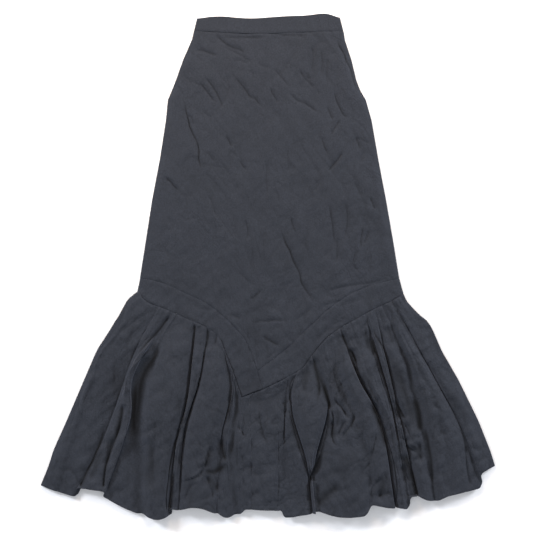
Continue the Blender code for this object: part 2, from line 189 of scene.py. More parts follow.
# The flounce's folds from left to right. A fold's line starts on the seam at seam_x and runs through
# its upper and lower points to the hem at hem_x, whose height steps from hem_left to hem_right. Its
# cloth rises to height, is stacked over the width overlap, and is full grown at the share grow of the
# way. Beside it the cloth domes and its hem sags, up to the next fold, and behind a slit the cloth lies
# at back. From the share low_from on only the share low of the slit is left, until it comes again.
Fold = namedtuple("Fold", "name kind seam_x upper lower hem_x hem_left hem_right "
                          "height overlap grow dome sag back low low_from again", defaults=[1.0, 1.0, 2.0])
FOLDS = [Fold(*row) for row in (
    ("side groove", "plain", -244, (-315, -151), (-357, -223), -437, -474, -474, 2.2, 0, 0.5, 0, 0, 0),
    ("outer tube left", "left", -227, (-277, -181), (-337, -345), -402, -483, -464, 6, 5, 1, 2, 0, 4.5),
    ("outer tube right", "right", -204, (-279, -226), (-288, -325), -340, -470, -489, 9, 11, 0.42, 0, 2,
     0, 0.5, 0.6),
    ("deep hollow", "valley", -189, (-240, -189), (-271, -300), -268, -518, -518, 1, 0, 0.3, 9, 8, 0),
    ("slim tube left", "left", -151, (-167, -272), (-191, -368), -207, -524, -508, 9, 6, 0.2, 1, 0, 8),
    ("slim tube right", "right", -130, (-143, -235), (-176, -349), -188, -510, -510, 9, 5, 0.25, 8, -10,
     7, 0.2, 0.72),
    ("middle panel edge", "right", -92, (-80, -265), (-99, -365), -109, -517, -517, 6.5, 6, 0.4, 2, 8,
     5, 0.2, 0.42),
    ("tip hollow", "valley", -70, (-67, -304), (-78, -378), -64, -520, -520, 1.8, 0, 0.35, 1, 0, 0),
    ("tip", "plain", -55, (-53, -350), (-50, -430), -48, -510, -510, 5, 0, 0.3, 1, 0, 0),
    ("centre seam left", "seam", -38, (-37, -344), (-34, -418), -34, -509, -509, 6, 0, 0.3, 2, 0, 0),
    ("centre seam right", "seam", 22, (21, -334), (21, -428), 19, -512, -512, 4, 0, 0.3, 0, 0, 0),
    ("centre fold", "right", 38, (33, -344), (31, -428), 31, -512, -527, 5.5, 5, 0.3, 2, 1, 4, 0.05, 0.3),
    ("diamond left", "left", 61, (50, -298), (81, -410), 94, -517, -517, 8, 5, 0.3, 4, 0, 7),
    ("diamond right", "right", 90, (125, -286), (98, -412), 103, -513, -513, 9, 6, 0.35, 4, 8, 5, 0.1,
     0.6),
    ("big panel step", "step", 122, (160, -277), (205, -400), 211, -521, -498, 9, 0, 0.5, 3, 0, 0),
    ("big panel right", "right", 149, (189, -235), (237, -332), 266, -505, -505, 12, 10, 0.25, 2, 0, 8),
    ("ridge left", "left", 206, (232, -191), (263, -307), 296, -508, -482, 10, 7, 0.25, 1, 0, 8, 0.2, 0.5),
    ("ridge right", "right", 222, (243, -178), (272, -300), 312, -481, -481, 10, 6, 0.35, 3, 3, 8, 0.2,
     0.5, 0.74),
    ("outer groove", "valley", 240, (288, -197), (319, -319), 349, -491, -491, 5, 0, 0.3, 4, 0, 0),
    ("long groove", "plain", 250, (316, -215), (357, -313), 375, -481, -481, 7, 0, 0.3, 2, 0, 0),
    ("side tube left", "left", 263, (334, -205), (403, -334), 446, -466, -432, 4, 3, 0.6, 1, 0, 2),
)]
# Where a fold's columns are, as shares: across the gathers at the seam, across the stacked fold below,
# and of its height. STACK is a slit's S, from the cloth on top to the cloth behind, where BACK_GATHERED
# and half a fold plus BACK_AT place one more column.
Station = namedtuple("Station", "gathered stacked level")
STACK = [Station(*row) for row in (
    (-1, -0.6, 1), (-0.55, 0.4, 0.97), (-0.25, 0.5, 0.76), (0, 0, 0.5), (0.25, -0.5, 0.24),
    (0.55, -0.4, 0.03), (1, 0.6, 0),
)]
GROOVE = [Station(-1, -1, 1), Station(0, 0, 0), Station(1, 1, 1)]
STEP = [Station(-1, -1, 1), Station(0, 0, 0.95), Station(1, 1, 0.8)]
LINE = [Station(0, 0, 1)]
BACK_AT = 0.5
BACK_GATHERED = 1.6
GROOVE_HALF_WIDTH = 6.0
SIDE_DOME = 3.0

# Creases, traced from top to bottom or from left to right in the photograph's pixels, which
# spot() turns into millimetres. Each side rises, or falls where it is negative, by so many
# millimetres at the line and levels out over its width: right is the side at the right hand of
# someone who walks along the points. A left side that isn't given is like the right one. The fades
# are shares of the length. A trough falls alike on both its sides.
# How deep a crease's lower side falls to get its full shade painted into the colour, on the flounce and on
# the body
PAINTED_SHADE_DEPTH = 6.0
BODY_PAINTED_SHADE_DEPTH = 3.6
CREASE_FADE = 0.3
TROUGH_FADE = 0.22
Crease = namedtuple("Crease", "points right right_width left left_width fade_in fade_out dark_depth",
                    defaults=[None, None, CREASE_FADE, CREASE_FADE, PAINTED_SHADE_DEPTH])
Trough = namedtuple("Trough", "depth width points")
BODY_TROUGHS = [Trough(*row) for row in (
    (3.4, 2.8, [(214, 34), (221, 40), (227, 45), (233, 48), (240, 50), (247, 56)]),
    (2.6, 2.4, [(222, 44), (230, 50), (238, 54), (246, 59), (254, 64)]),
    (2.6, 2.2, [(221, 36), (232, 38), (245, 38), (258, 38), (270, 36)]),
    (2.4, 2.2, [(276, 35), (288, 36), (298, 36), (306, 38)]),
    (3, 2.4, [(195, 51), (202, 51), (208, 53), (214, 55), (219, 55)]),
    (2.1, 2, [(234, 61), (240, 61), (246, 63), (250, 62)]),
    (1.7, 2, [(248, 71), (252, 73), (255, 76)]),
    (2.2, 2.2, [(256, 62), (264, 67), (272, 68)]),
    (3.2, 2.9, [(203, 77), (208, 81), (212, 86), (216, 92), (219, 98), (222, 105), (224, 111)]),
    (3, 2.4, [(199, 82), (205, 89), (211, 97), (216, 103)]),
    (3, 2.3, [(233, 75), (238, 81), (243, 87), (247, 92), (250, 97), (255, 99), (259, 104), (264, 110)]),
    (1.4, 2.6, [(226, 75), (229, 86), (230, 96)]),
    (3.7, 2.3, [(182, 98), (185, 104), (186, 110), (188, 118), (190, 127), (193, 134), (197, 142),
                (199, 150), (199, 158), (201, 168), (202, 175)]),
    (2.1, 2, [(188, 114), (192, 119), (194, 127)]),
    (1.6, 2, [(204, 112), (208, 116), (213, 118)]),
    (2.3, 2.4, [(272, 68), (279, 75), (284, 81), (289, 88)]),
    (2.6, 2.3, [(270, 88), (273, 95), (277, 101), (278, 104)]),
    (2.8, 2.3, [(288, 92), (293, 97), (297, 101), (303, 103), (308, 106), (314, 110), (319, 114)]),
    (2.4, 2.2, [(299, 70), (304, 78), (310, 84), (315, 90)]),
    (1.6, 2, [(317, 90), (319, 95)]),
    (1.4, 2, [(305, 72), (307, 76), (309, 81)]),
    (3, 2, [(333, 91), (335, 97), (337, 103), (340, 109), (343, 115), (349, 119)]),
    (2.8, 2, [(327, 106), (329, 112), (331, 117), (333, 121)]),
    (2.8, 2, [(340, 120), (336, 126), (333, 131), (330, 136)]),
    (1.4, 2, [(335, 52), (331, 56)]),
    (1.1, 2.6, [(338, 64), (337, 74), (338, 84)]),
    (2, 2.6, [(312, 46), (313, 60), (311, 76)]),
    (1.9, 2.6, [(320, 48), (322, 62), (320, 78)]),
    (1.7, 2.6, [(328, 58), (326, 71), (327, 86)]),
    (2.3, 2, [(321, 136), (323, 143), (325, 149), (328, 155)]),
    (3.4, 2.3, [(343, 151), (338, 159), (334, 164), (330, 169), (327, 173)]),
    (2.5, 2, [(355, 137), (358, 144), (360, 151)]),
    (1.8, 2, [(364, 151), (361, 158), (360, 164)]),
    (2.2, 3.2, [(266, 158), (267, 170), (266, 180), (267, 190), (266, 199)]),
    (2, 3.2, [(287, 148), (288, 162), (289, 174)]),
    (1.7, 2, [(273, 189), (277, 197), (280, 204)]),
    (2.5, 2, [(291, 217), (293, 225), (296, 234)]),
    (4.1, 2.6, [(280, 227), (283, 236), (286, 244), (290, 251), (293, 260), (298, 270), (300, 275),
                (301, 281), (304, 287), (308, 293), (312, 300), (312, 306)]),
    (3, 2.4, [(329, 203), (331, 217), (333, 231), (334, 246)]),
    (2.6, 2.8, [(343, 200), (346, 208), (347, 220), (346, 230), (343, 241)]),
    (3, 2, [(369, 197), (372, 203), (375, 210)]),
    (3, 2, [(363, 227), (361, 238), (360, 250)]),
    (2.8, 2, [(369, 229), (366, 238), (363, 246)]),
    (1.7, 2, [(354, 182), (358, 190), (360, 198)]),
    (1.8, 3.9, [(318, 180), (316, 186), (315, 192)]),
    (1.4, 2.6, [(340, 176), (343, 188), (342, 198)]),
    (3.4, 2, [(165, 178), (171, 182), (175, 187), (180, 190)]),
    (1.6, 2.6, [(176, 189), (176, 198)]),
    (2.5, 2, [(226, 136), (229, 141), (232, 148)]),
    (1.5, 2.6, [(230, 148), (230, 160), (231, 170)]),
    (1.6, 2, [(207, 152), (211, 157), (215, 162)]),
    (1.6, 2, [(231, 151), (238, 158)]),
    (2.3, 2, [(239, 160), (243, 166), (247, 171)]),
    (1.8, 2.3, [(208, 195), (211, 200), (213, 206), (217, 218)]),
    (1.6, 2.6, [(168, 216), (172, 224), (172, 232)]),
    (2.2, 2.6, [(245, 220), (248, 230), (247, 240)]),
    (1.4, 2.6, [(232, 228), (236, 236), (240, 240)]),
    (1.4, 2.6, [(163, 248), (168, 254), (170, 262)]),
    (3, 2, [(249, 300), (254, 297), (258, 293), (263, 290)]),
    (2.8, 2, [(252, 323), (260, 321), (268, 321), (276, 320), (287, 321)]),
    (3.7, 2, [(262, 335), (266, 338), (271, 341), (276, 344), (281, 345)]),
    (1.6, 2, [(288, 339), (293, 342), (292, 346)]),
    (2.3, 2.4, [(321, 293), (328, 290), (335, 289), (343, 287), (355, 285), (370, 283), (382, 280),
                (393, 277)]),
    (1.6, 2, [(280, 287), (287, 284), (294, 282)]),
    (2.5, 2, [(357, 249), (354, 257), (353, 264), (356, 269), (360, 271)]),
    (2.4, 2.6, [(337, 238), (337, 252), (336, 264)]),
    (2.1, 2.6, [(277, 350), (271, 355), (265, 361)]),
    (1.8, 2.6, [(265, 361), (267, 367), (271, 372)]),
    (1.4, 2, [(286, 349), (284, 359)]),
    (1.6, 3.2, [(236, 270), (245, 278), (253, 288)]),
    (1.4, 3.2, [(206, 270), (198, 274), (190, 274)]),
    (1.8, 3.2, [(195, 307), (205, 309), (215, 310)]),
    (2.3, 3.2, [(228, 314), (235, 316), (241, 319)]),
    (2.5, 2, [(281, 380), (276, 387), (271, 392)]),
    (1.6, 2, [(271, 377), (268, 386), (267, 394)]),
    (1.8, 3.2, [(244, 398), (250, 396), (257, 394)]),
    (1.6, 2, [(304, 312), (299, 318), (293, 321)]),
    (1.6, 2, [(322, 306), (333, 303), (342, 300)]),
    (1.4, 2, [(346, 303), (356, 301), (366, 296)]),
    (1.6, 2, [(330, 326), (338, 322), (346, 320)]),
    (1.4, 2, [(317, 326), (317, 334), (318, 342)]),
    (3.4, 2, [(336, 39), (338, 45), (341, 50), (344, 55), (346, 62), (350, 69), (352, 76), (354, 84),
              (357, 94)]),
)]
FLOUNCE_CREASES = [Crease(*row) for row in (
    # left of the narrow tube
    ([(158, 311), (148, 313), (138, 319), (128, 326), (120, 333), (115, 340), (109, 348), (104, 357)],
     -1.2, 6, -1.6, 4),
    ([(118, 356), (116, 372), (115, 388), (116, 402)], -3, 20, -3, 16, 0.4, 0.4),
    ([(120, 358), (124, 364), (128, 370)], -1.2, 6),
    ([(170, 316), (165, 322), (160, 329), (153, 337), (146, 345), (139, 354), (133, 363)],
     -6, 6, -7, 4, 0.1, 0.4),
    ([(166, 333), (157, 344), (146, 354), (137, 362), (132, 368), (130, 378), (130, 400), (129, 415),
      (127, 430), (123, 445), (117, 460)], 5, 12, 7, 5, 0.25, 0.25),
    ([(163, 344), (157, 355), (149, 365), (143, 376), (140, 390), (139, 404), (136, 418), (135, 430),
      (138, 440)], -5.8, 6, -5.8, 7, 0.25, 0.2),
    ([(136, 378), (135, 402), (134, 420), (136, 440)], -7.5, 9, -7.5, 8, 0.35, 0.25),
    ([(172, 332), (164, 347), (157, 365), (152, 380), (149, 395), (147, 412), (147, 430), (150, 448)],
     3, 6, 4, 26),
    ([(160, 408), (157, 425), (156, 445), (155, 465), (156, 488)], -2.5, 5, -2, 5, 0.4, 0.2),
    ([(166, 410), (165, 430), (163, 450), (161, 475)], 1.5, 6, 1.5, 10, 0.4, 0.3),
    ([(104, 446), (99, 458), (95, 469), (90, 481)], -5, 13, -5, 13, 0.3, 0.2),
    ([(105, 423), (103, 434), (99, 446), (93, 460), (87, 472), (80, 487)], -7, 4, -7.5, 7, 0.25, 0.05),
    ([(124, 401), (123, 415), (120, 428), (116, 440)], -7, 12, -7, 5, 0.2, 0.3),
    ([(116, 432), (112, 446), (108, 460), (105, 472)], -5, 12, -5, 6),
    ([(122, 420), (118, 434), (113, 447), (109, 458), (106, 470), (104, 488)],
     -7.5, 6, -6.5, 4, 0.2, 0.05),
    ([(152, 436), (153, 452), (152, 470), (150, 492)], -4.5, 22, -4.5, 18),
    ([(157, 337), (150, 344), (142, 352), (135, 360)], 6, 5, 6, 6),
    ([(100, 458), (97, 470), (93, 482)], -1.5, 4, -1.5, 4, 0.4, 0.2),
    ([(73, 470), (74, 478), (77, 484)], -1, 4),
    ([(57, 459), (70, 459), (80, 457), (88, 453)], -0.8, 3),
    ([(117, 497), (122, 490), (129, 485)], -2.5, 5, -2.5, 4, 0.3, 0.4),
    ([(126, 452), (130, 462), (138, 470), (146, 474)], -1.8, 4),
    ([(141, 448), (146, 456), (150, 466)], -1.6, 4),
    # the narrow tube and the panel that curls beside it
    ([(196, 324), (194, 340), (192, 356)], -6, 4, -6, 4, 0.1, 0.4),
    ([(196, 324), (194, 345), (191, 365), (188, 388), (186, 408), (183, 424), (178, 436), (174, 448),
      (171, 462), (169, 478), (167, 495), (167, 507)], -5, 2.2, -0.5, 2, 0.08, 0),
    ([(180, 432), (175, 445), (172, 458), (170, 472)], -4, 4, -1, 3, 0.2, 0.3),
    ([(197, 362), (193, 385), (190, 405), (187, 422), (182, 438), (178, 455)], 2, 4, 2, 4, 0.2, 0.2),
    ([(206, 350), (203, 363), (200, 376), (197, 389), (193, 401), (190, 414), (187, 427), (183, 441),
      (180, 454), (178, 467), (176, 478), (173, 492)], -0.5, 2, -4.5, 2.2, 0.2, 0.5),
    ([(175, 466), (173, 480), (171, 495), (170, 507)], -6, 7, -6, 6, 0.4, 0),
    ([(206, 326), (208, 336), (206, 350)], -4.5, 7, -4.5, 7, 0.3, 0.2),
    ([(214, 331), (216, 340), (214, 350)], -3, 6),
    ([(212, 355), (204, 378), (199, 400), (195, 420), (191, 440), (188, 458), (188, 470)],
     3, 8, 3, 22, 0.35, 0.25),
    ([(216, 418), (213, 428), (209, 440), (206, 452)], -1.5, 7, -2, 5),
    ([(181, 358), (177, 384), (173, 410), (169, 430)], 2, 16),
    ([(204, 474), (212, 482), (221, 490)], -5, 16),
    ([(210, 443), (208, 450), (206, 459), (203, 467)], 2.5, 10, -7, 12, 0.3, 0.2),
    ([(205, 463), (202, 469), (197, 474), (190, 477), (181, 481)], 1.5, 8, -3.5, 5, 0.2, 0.3),
    ([(203, 468), (212, 471), (221, 468), (227, 461)], -7.5, 10, -7.5, 10, 0.25, 0.3),
    ([(222, 434), (223, 448), (226, 462)], -8, 9, -7, 7, 0.35, 0.2),
    ([(233, 424), (229, 436), (226, 446)], 3.5, 4),
    ([(235, 430), (233, 442), (231, 453)], -3, 4, -2.5, 4, 0.3, 0.2),
    ([(229, 384), (230, 394), (229, 406), (229, 420), (226, 427)], -3.5, 6, -3, 4, 0.3, 0.2),
    ([(233, 380), (234, 395), (233, 410), (232, 424)], 2.5, 3),
    ([(237, 385), (237, 400), (235, 412), (235, 424)], -1.5, 3),
    ([(240, 424), (244, 436)], -2.5, 3, -2.5, 4),
    ([(206, 474), (209, 483), (212, 491), (213, 500)], -4, 3, -4, 3, 0.1, 0.2),
    ([(213, 474), (218, 483), (223, 492)], -3, 3),
    ([(228, 470), (228, 478), (224, 484)], -2, 4),
    ([(200, 480), (192, 485), (188, 492), (184, 502)], -3.5, 4, -3.5, 4, 0.2, 0.2),
    ([(198, 499), (206, 497), (213, 495)], -1.5, 4),
    # a soft fall below the band's pointed end where its edge shades the flounce: part real fall, part shade
    # painted into the colour
    ([(246, 401), (258, 401), (270, 398), (281, 392), (291, 384)], -2.8, 22, -2.8, 7, 0.2, 0.3),
    # under the tip
    ([(259, 404), (260, 418), (263, 430), (266, 440), (269, 449)], -4.5, 5, -4, 4),
    # the cloth below this line falls away and is shaded: part real fall, part shade painted into the colour
    # over a wide band below it
    ([(241, 468), (250, 466), (262, 464), (281, 463)], -2.6, 36, -2.6, 5, 0.2, 0.2),
    ([(241, 467), (242, 475), (245, 483), (249, 489)], -2.5, 4, -2, 5, 0.1, 0.3),
    ([(249, 503), (253, 494), (262, 490)], -3, 10),
    ([(238, 423), (241, 430), (244, 437)], -2, 4),
    ([(283, 404), (284, 414), (283, 424), (281, 436), (282, 446)], -1, 4, -1, 4, 0.15, 0.4),
    ([(287, 410), (286, 425), (288, 440)], 2, 3, 2, 4, 0.3, 0.4),
    ([(281, 403), (285, 403), (289, 400)], -4.5, 4, -4.5, 4, 0.2, 0.2),
    ([(287, 452), (288, 465), (289, 478), (290, 488)], -2, 4, -2, 6),
    ([(296, 374), (291, 382), (290, 392), (289, 402)], -5, 4, -5, 3, 0.2, 0.1),
    ([(303, 371), (302, 380), (298, 388)], -3.5, 3, -3, 3, 0.15, 0.3),
    ([(298, 376), (295, 388), (293, 400)], 2.5, 3),
    ([(308, 366), (305, 380), (303, 396)], -5, 13, -5, 11),
    # round the pointed panel
    ([(289, 407), (291, 417), (295, 431), (299, 444), (303, 457), (307, 470), (309, 482), (310, 500)],
     -5, 2.5, -1, 2.5, 0.1, 0),
    ([(312, 375), (306, 400), (306, 425), (309, 448)], 3, 16),
    ([(322, 380), (326, 393), (329, 403), (330, 411)], -8, 7, -8, 8, 0.3, 0.2),
    ([(312, 358), (315, 367), (319, 378), (323, 387), (326, 395), (329, 404), (330, 410)],
     -2, 4, -6, 6, 0.1, 0.15),
    ([(313, 358), (318, 378), (319, 392), (316, 402), (312, 405)], -7.5, 8, -7, 5, 0.15, 0.4),
    ([(321, 450), (317, 461), (312, 471), (310, 480)], -2, 3, -7, 8, 0.3, 0.05),
    ([(329, 412), (326, 428), (323, 441), (320, 452), (316, 462), (311, 472), (309, 480)],
     -1, 4, -3.5, 8, 0.3, 0.05),
    ([(318, 458), (313, 468), (310, 478), (310, 488), (311, 500)], -9, 4, -9, 4, 0.3, 0.5),
    ([(333, 396), (337, 402), (341, 407), (345, 413), (346, 418)], -6.5, 3, -6.5, 4),
    ([(332, 418), (333, 428), (334, 440)], -6, 9, -6, 7),
    ([(346, 418), (343, 424), (340, 430), (337, 437)], -5, 4, -5, 3),
    ([(330, 408), (333, 415), (333, 425), (332, 434), (334, 441), (338, 446)], -6.5, 4, -6.5, 3, 0.2, 0.2),
    ([(336, 406), (338, 417), (336, 430)], -4, 7),
    ([(341, 399), (347, 409), (350, 416), (346, 425), (341, 434)], 3.5, 3, 3.5, 5),
    ([(353, 407), (354, 416), (350, 424), (345, 431), (341, 439)], -4.5, 4, -4.5, 4, 0.3, 0.2),
    ([(357, 404), (358, 422), (357, 440)], 2, 14),
    ([(345, 378), (352, 374), (358, 368)], -2, 3),
    ([(337, 390), (341, 385), (345, 381)], -2, 3),
    ([(344, 397), (349, 396), (354, 397)], -1.6, 3),
    ([(330, 367), (340, 363), (349, 358)], -1.8, 3),
    ([(323, 340), (324, 350), (322, 358)], -1.5, 3),
    # the strongest fold and the hollows right of it
    ([(340, 331), (344, 340), (350, 350), (355, 360), (357, 370), (362, 382), (368, 394), (373, 403),
      (378, 413), (382, 424), (386, 436), (390, 450), (393, 465), (395, 480), (396, 492), (395, 504)],
     -1, 3, -5, 2.5, 0.06, 0),
    ([(341, 333), (345, 341), (349, 348)], -7, 8, -7, 8, 0.25, 0.4),
    ([(348, 345), (352, 352), (355, 359), (356, 366)], -9, 5, -9, 5, 0.4, 0.3),
    ([(369, 398), (374, 409), (379, 422), (383, 435), (387, 450)], -9, 10, -9, 6, 0.2, 0.2),
    ([(361, 362), (368, 377), (376, 391), (384, 406), (391, 421), (396, 436), (399, 452), (401, 468),
      (403, 485)], 4, 4, 3, 8, 0.3, 0.2),
    ([(363, 376), (369, 385), (375, 395), (381, 405)], -2.5, 3),
    ([(370, 328), (371, 340), (373, 351), (377, 363), (381, 378), (385, 390), (388, 400), (390, 410),
      (394, 419)], -5, 3, -2, 4, 0.1, 0.15),
    ([(371, 336), (374, 348), (377, 357)], -8, 12, -8, 7),
    ([(364, 328), (367, 341), (370, 354)], -5, 8),
    ([(371, 329), (377, 339), (383, 349), (387, 360), (389, 371), (391, 382), (392, 391), (395, 400),
      (399, 409), (404, 417)], -2, 4, -6, 3, 0.1, 0.1),
    ([(393, 397), (397, 404), (401, 411), (405, 418)], -11, 7, -9, 3, 0.3, 0.1),
    ([(395, 404), (398, 411), (400, 420)], -8, 12, -8, 5, 0.4, 0.3),
    ([(386, 340), (393, 356), (398, 375), (400, 390), (404, 405), (408, 415), (412, 428)],
     2, 4, 1.5, 7, 0.3, 0.2),
    ([(404, 417), (401, 421), (399, 426)], -5, 6, -5, 5),
    ([(393, 333), (397, 343), (403, 351), (408, 361), (410, 375), (411, 388), (415, 398), (419, 408),
      (420, 420), (418, 431)], -4, 4, -4, 6, 0.3, 0.1),
    ([(414, 396), (418, 409), (420, 422), (420, 434)], -8, 16, -8, 8, 0.2, 0.2),
    ([(417, 440), (418, 452), (420, 463)], -6, 12, -6, 6),
    ([(389, 345), (396, 366), (402, 386), (407, 403), (412, 420), (416, 438)], -6, 17, -6, 17, 0.4, 0.3),
    ([(386, 324), (390, 336), (394, 348)], -4.5, 11, -4.5, 9),
    ([(379, 312), (382, 322), (384, 333)], -2.5, 3, -2, 4, 0.2, 0.3),
    ([(390, 311), (392, 322), (393, 333)], -2, 3, -2, 4, 0.2, 0.2),
    ([(391, 311), (399, 320), (407, 332), (414, 344), (420, 354), (427, 363), (434, 373), (440, 383),
      (447, 396), (453, 408), (459, 422), (463, 434), (465, 448), (466, 464), (469, 484)],
     -3, 7, -2.5, 5, 0.1, 0),
    ([(463, 436), (465, 450), (466, 465), (469, 484)], -3, 3, -3, 3, 0.3, 0.1),
    ([(451, 396), (454, 404), (456, 412)], -3, 4),
    ([(465, 445), (470, 455), (473, 463), (475, 471)], -3, 4, -3, 4, 0.2, 0.1),
    ([(466, 446), (473, 448), (481, 452)], -1.5, 3),
    ([(401, 331), (406, 343), (411, 352)], -1.5, 4),
    ([(438, 410), (440, 424), (444, 440), (448, 452)], -2, 5),
    # the crumple near the hem
    ([(403, 421), (407, 428), (410, 436)], -5, 3),
    ([(400, 436), (404, 439), (409, 440)], -4, 3),
    ([(405, 441), (410, 443), (415, 446), (419, 449)], 3.5, 2.5),
    ([(402, 444), (408, 447), (413, 450), (417, 454)], -4.5, 3),
    ([(413, 438), (419, 435), (425, 432)], -3, 3),
    ([(411, 460), (416, 458), (421, 454)], -3, 3),
    ([(419, 440), (420, 452), (421, 465)], -4, 3),
    ([(424, 424), (427, 436), (429, 448), (431, 459), (432, 472), (432, 484)], -7, 6, -7, 5, 0.2, 0.15),
    ([(399, 462), (402, 472), (405, 484)], -5, 10),
    ([(404, 451), (407, 460), (411, 470), (414, 480), (416, 494)], -9, 16, -9, 6, 0.2, 0),
    ([(402, 465), (406, 473), (410, 482)], -4, 3, -4, 3, 0.3, 0.1),
    ([(415, 450), (419, 462), (423, 477)], 2, 4),
    ([(441, 470), (443, 480), (445, 490)], -1.8, 3),
    # the wide panel's own creases
    ([(376, 428), (374, 440), (372, 451), (370, 461)], -5, 5, -5, 3),
    ([(340, 475), (346, 469), (352, 463), (359, 460), (367, 458)], -3, 3, -2.5, 3, 0.2, 0.3),
    ([(370, 461), (365, 467), (360, 473), (357, 478)], -3, 3, -2.5, 4, 0.1, 0.4),
    ([(384, 467), (379, 476), (372, 485), (367, 497)], 0.5, 12, -2.2, 26, 0.2, 0.1),
    ([(384, 470), (382, 484), (379, 500)], -5.5, 14, -5.5, 14, 0.4, 0.2),
    ([(338, 477), (345, 470), (353, 464), (368, 459)], 3.5, 8, 3.5, 38),
    ([(392, 490), (384, 493), (376, 497)], -5, 7, -5, 6, 0.2, 0.2),
    ([(342, 482), (333, 489), (324, 497), (315, 507)], -6, 18, -6, 13, 0.3, 0.2),
    ([(350, 484), (342, 488), (333, 490)], -2.5, 5, -2.5, 4),
    ([(358, 497), (352, 502), (347, 508)], -2, 4, -2, 4, 0.3, 0.2),
)]
# The pointed end lies on the gathers below it, so it stands off the back along its lower edge.
TIP_STAND = Crease([(241, 394), (257, 392), (272, 387), (290, 378)], 1.8, 9, 1.8, 38)
# A crease is round at its line, and its reach is so many widths. Inside a crease, shade is painted into
# the colour. What is as deep as its shade depth gets the full painted shade, which grows with a power of
# the depth up to the deepest share and spreads at least so wide from the line, or over that share of a
# falling side's width. The slit shade is all the colour that is left where the painted shade is darkest.
CREASE_ROUND = 0.8
CREASE_REACH = 5.0
LEAST_FADE = 0.001
PAINTED_SHADE_POWER = 1.6
DEEPEST_PAINTED_SHADE = 1.6
SLIT_PAINTED_SHADE = 0.14
PAINTED_SHADE_WIDTH = 1.9
PAINTED_SHADE_SHARE = 0.6

# The dense small creases of crumpled cloth: how wide and long they are, how far they lean from
# upright to the right, how high their pillows are, how strong they are at the hem, at the knee and at
# the waist, and where their pattern starts.
Crumple = namedtuple("Crumple", "wide long lean height hem knee waist start")
CRUMPLES = [Crumple(*row) for row in (
    (55, 80, 20, 2.2, 1.4, 0.9, 0.9, 0),
    (24, 90, -40, 1.8, 0.8, 0.5, 1.1, 31.7),
    (20, 90, -6, 1.7, 1, 1.1, 0.3, 12.9),
    (15, 32, 50, 1.1, 1.9, 0.9, 0.7, 55.1),
    (8, 19, -25, 0.5, 1.6, 1, 1, 71.3),
)]
CRUMPLE_ZONES = (-140, 20, 260)
CRUMPLE_PATCH = 62.0
PATCH_START = 3.1
PATCH_MIDDLE = 0.4
PATCH_GAIN = 1.6
LINE_SHARP = 0.07
LINE_DEPTH = 0.45
# the shade painted into the colour along the crumple's thin creases, at its strongest
LINE_PAINTED_SHADE = 0.26
# Hairline creases, finer than the mesh: how wide and long their pattern is, how far they lean from
# upright to the right, and how much of the pattern's noise a line takes.
FineCrease = namedtuple("FineCrease", "wide long lean line")
FINE_CREASES = [FineCrease(30, 120, -40, 0.02), FineCrease(17, 70, -5, 0.026), FineCrease(12, 26, 55, 0.03)]
# the shade painted into the colour along each hairline crease, at its middle
FINE_PAINTED_SHADE = 0.3
# Flutes of the gathered cloth: how wide at the seam, how long and high, and where the pattern starts.
Ripple = namedtuple("Ripple", "wide long height start")
RIPPLES = [Ripple(15, 110, 2.2, 7.3), Ripple(6, 50, 0.8, 19.1)]
# Waves along a seam: how high and long, how far and over what length they sway, and where they start.
Wave = namedtuple("Wave", "height length sway sway_length start", defaults=[0.0])
SEAM_WAVE = Wave(0.5, 13, 2, 37)
SEAM_PUCKER = Wave(0.3, 1.7, 1.5, 9)
GATHERS = [Wave(0.6, 2.1, 1.3, 9.7), Wave(0.8, 3.7, 2.0, 23, 1.0)]

# Looks of the cloth: the twill lines' lean, how far apart they are and a band's width in the wave
# texture, the sizes of the mottle and of the worn patches, and how much of the colour each takes
TWILL_TURN = 27
WEAVE = 1.3
WAVE_SPACING = 0.314
HEATHER = 3.0
FADE = 120.0
MOTTLE_SHARE = 0.54
TWILL_SHARE = 0.24

# Soft lamps: where they hang, what they aim at and how wide they are, in metres, and their power.
Lamp = namedtuple("Lamp", "name place aim size power colour")
LAMPS = [
    Lamp("left lamp", (-2.15, 1.0, 1.1), (0, 0, 0), 0.6, 80, "#f4f7ff"),
    Lamp("right lamp", (1.95, 1.0, 0.7), (0, 0, 0), 0.6, 69, "#f4f7ff"),
    Lamp("waist lamp", (-0.2, 1.3, 0.95), (0, 0.3, 0), 0.7, 18, "#ffe3c4"),
    Lamp("hem lamp", (0.05, -1.1, 0.6), (0, -0.35, 0), 0.5, 2.4, "#f4f7ff"),
]

# The fields of a piece's cut, in metres: the width and length of the cloth that it takes, its own flat
# area where that is less, and what it lies on.
Cut = namedtuple("Cut", "width length area rests_on")


def ease(amount):
    """From 0 to 1, with a level start and end."""
    part = np.clip(amount, 0, 1)
    return part * part * (3 - 2 * part)


def side(level, name):
    """The x of the skirt's left or right edge at a height y."""
    rows = OUTLINE[::-1]
    return np.interp(level, [row.y for row in rows], [getattr(row, name) for row in rows])


def body_side(level, name):
    """The side of the body's pieces, carried on in a straight line below the side seam's end."""
    last = side(SIDE_SEAM_Y, name)
    slope = (side(SIDE_SEAM_Y + SIDE_SLOPE_RUN, name) - last) / SIDE_SLOPE_RUN
    return np.where(level < SIDE_SEAM_Y, last + slope * (level - SIDE_SEAM_Y), side(level, name))


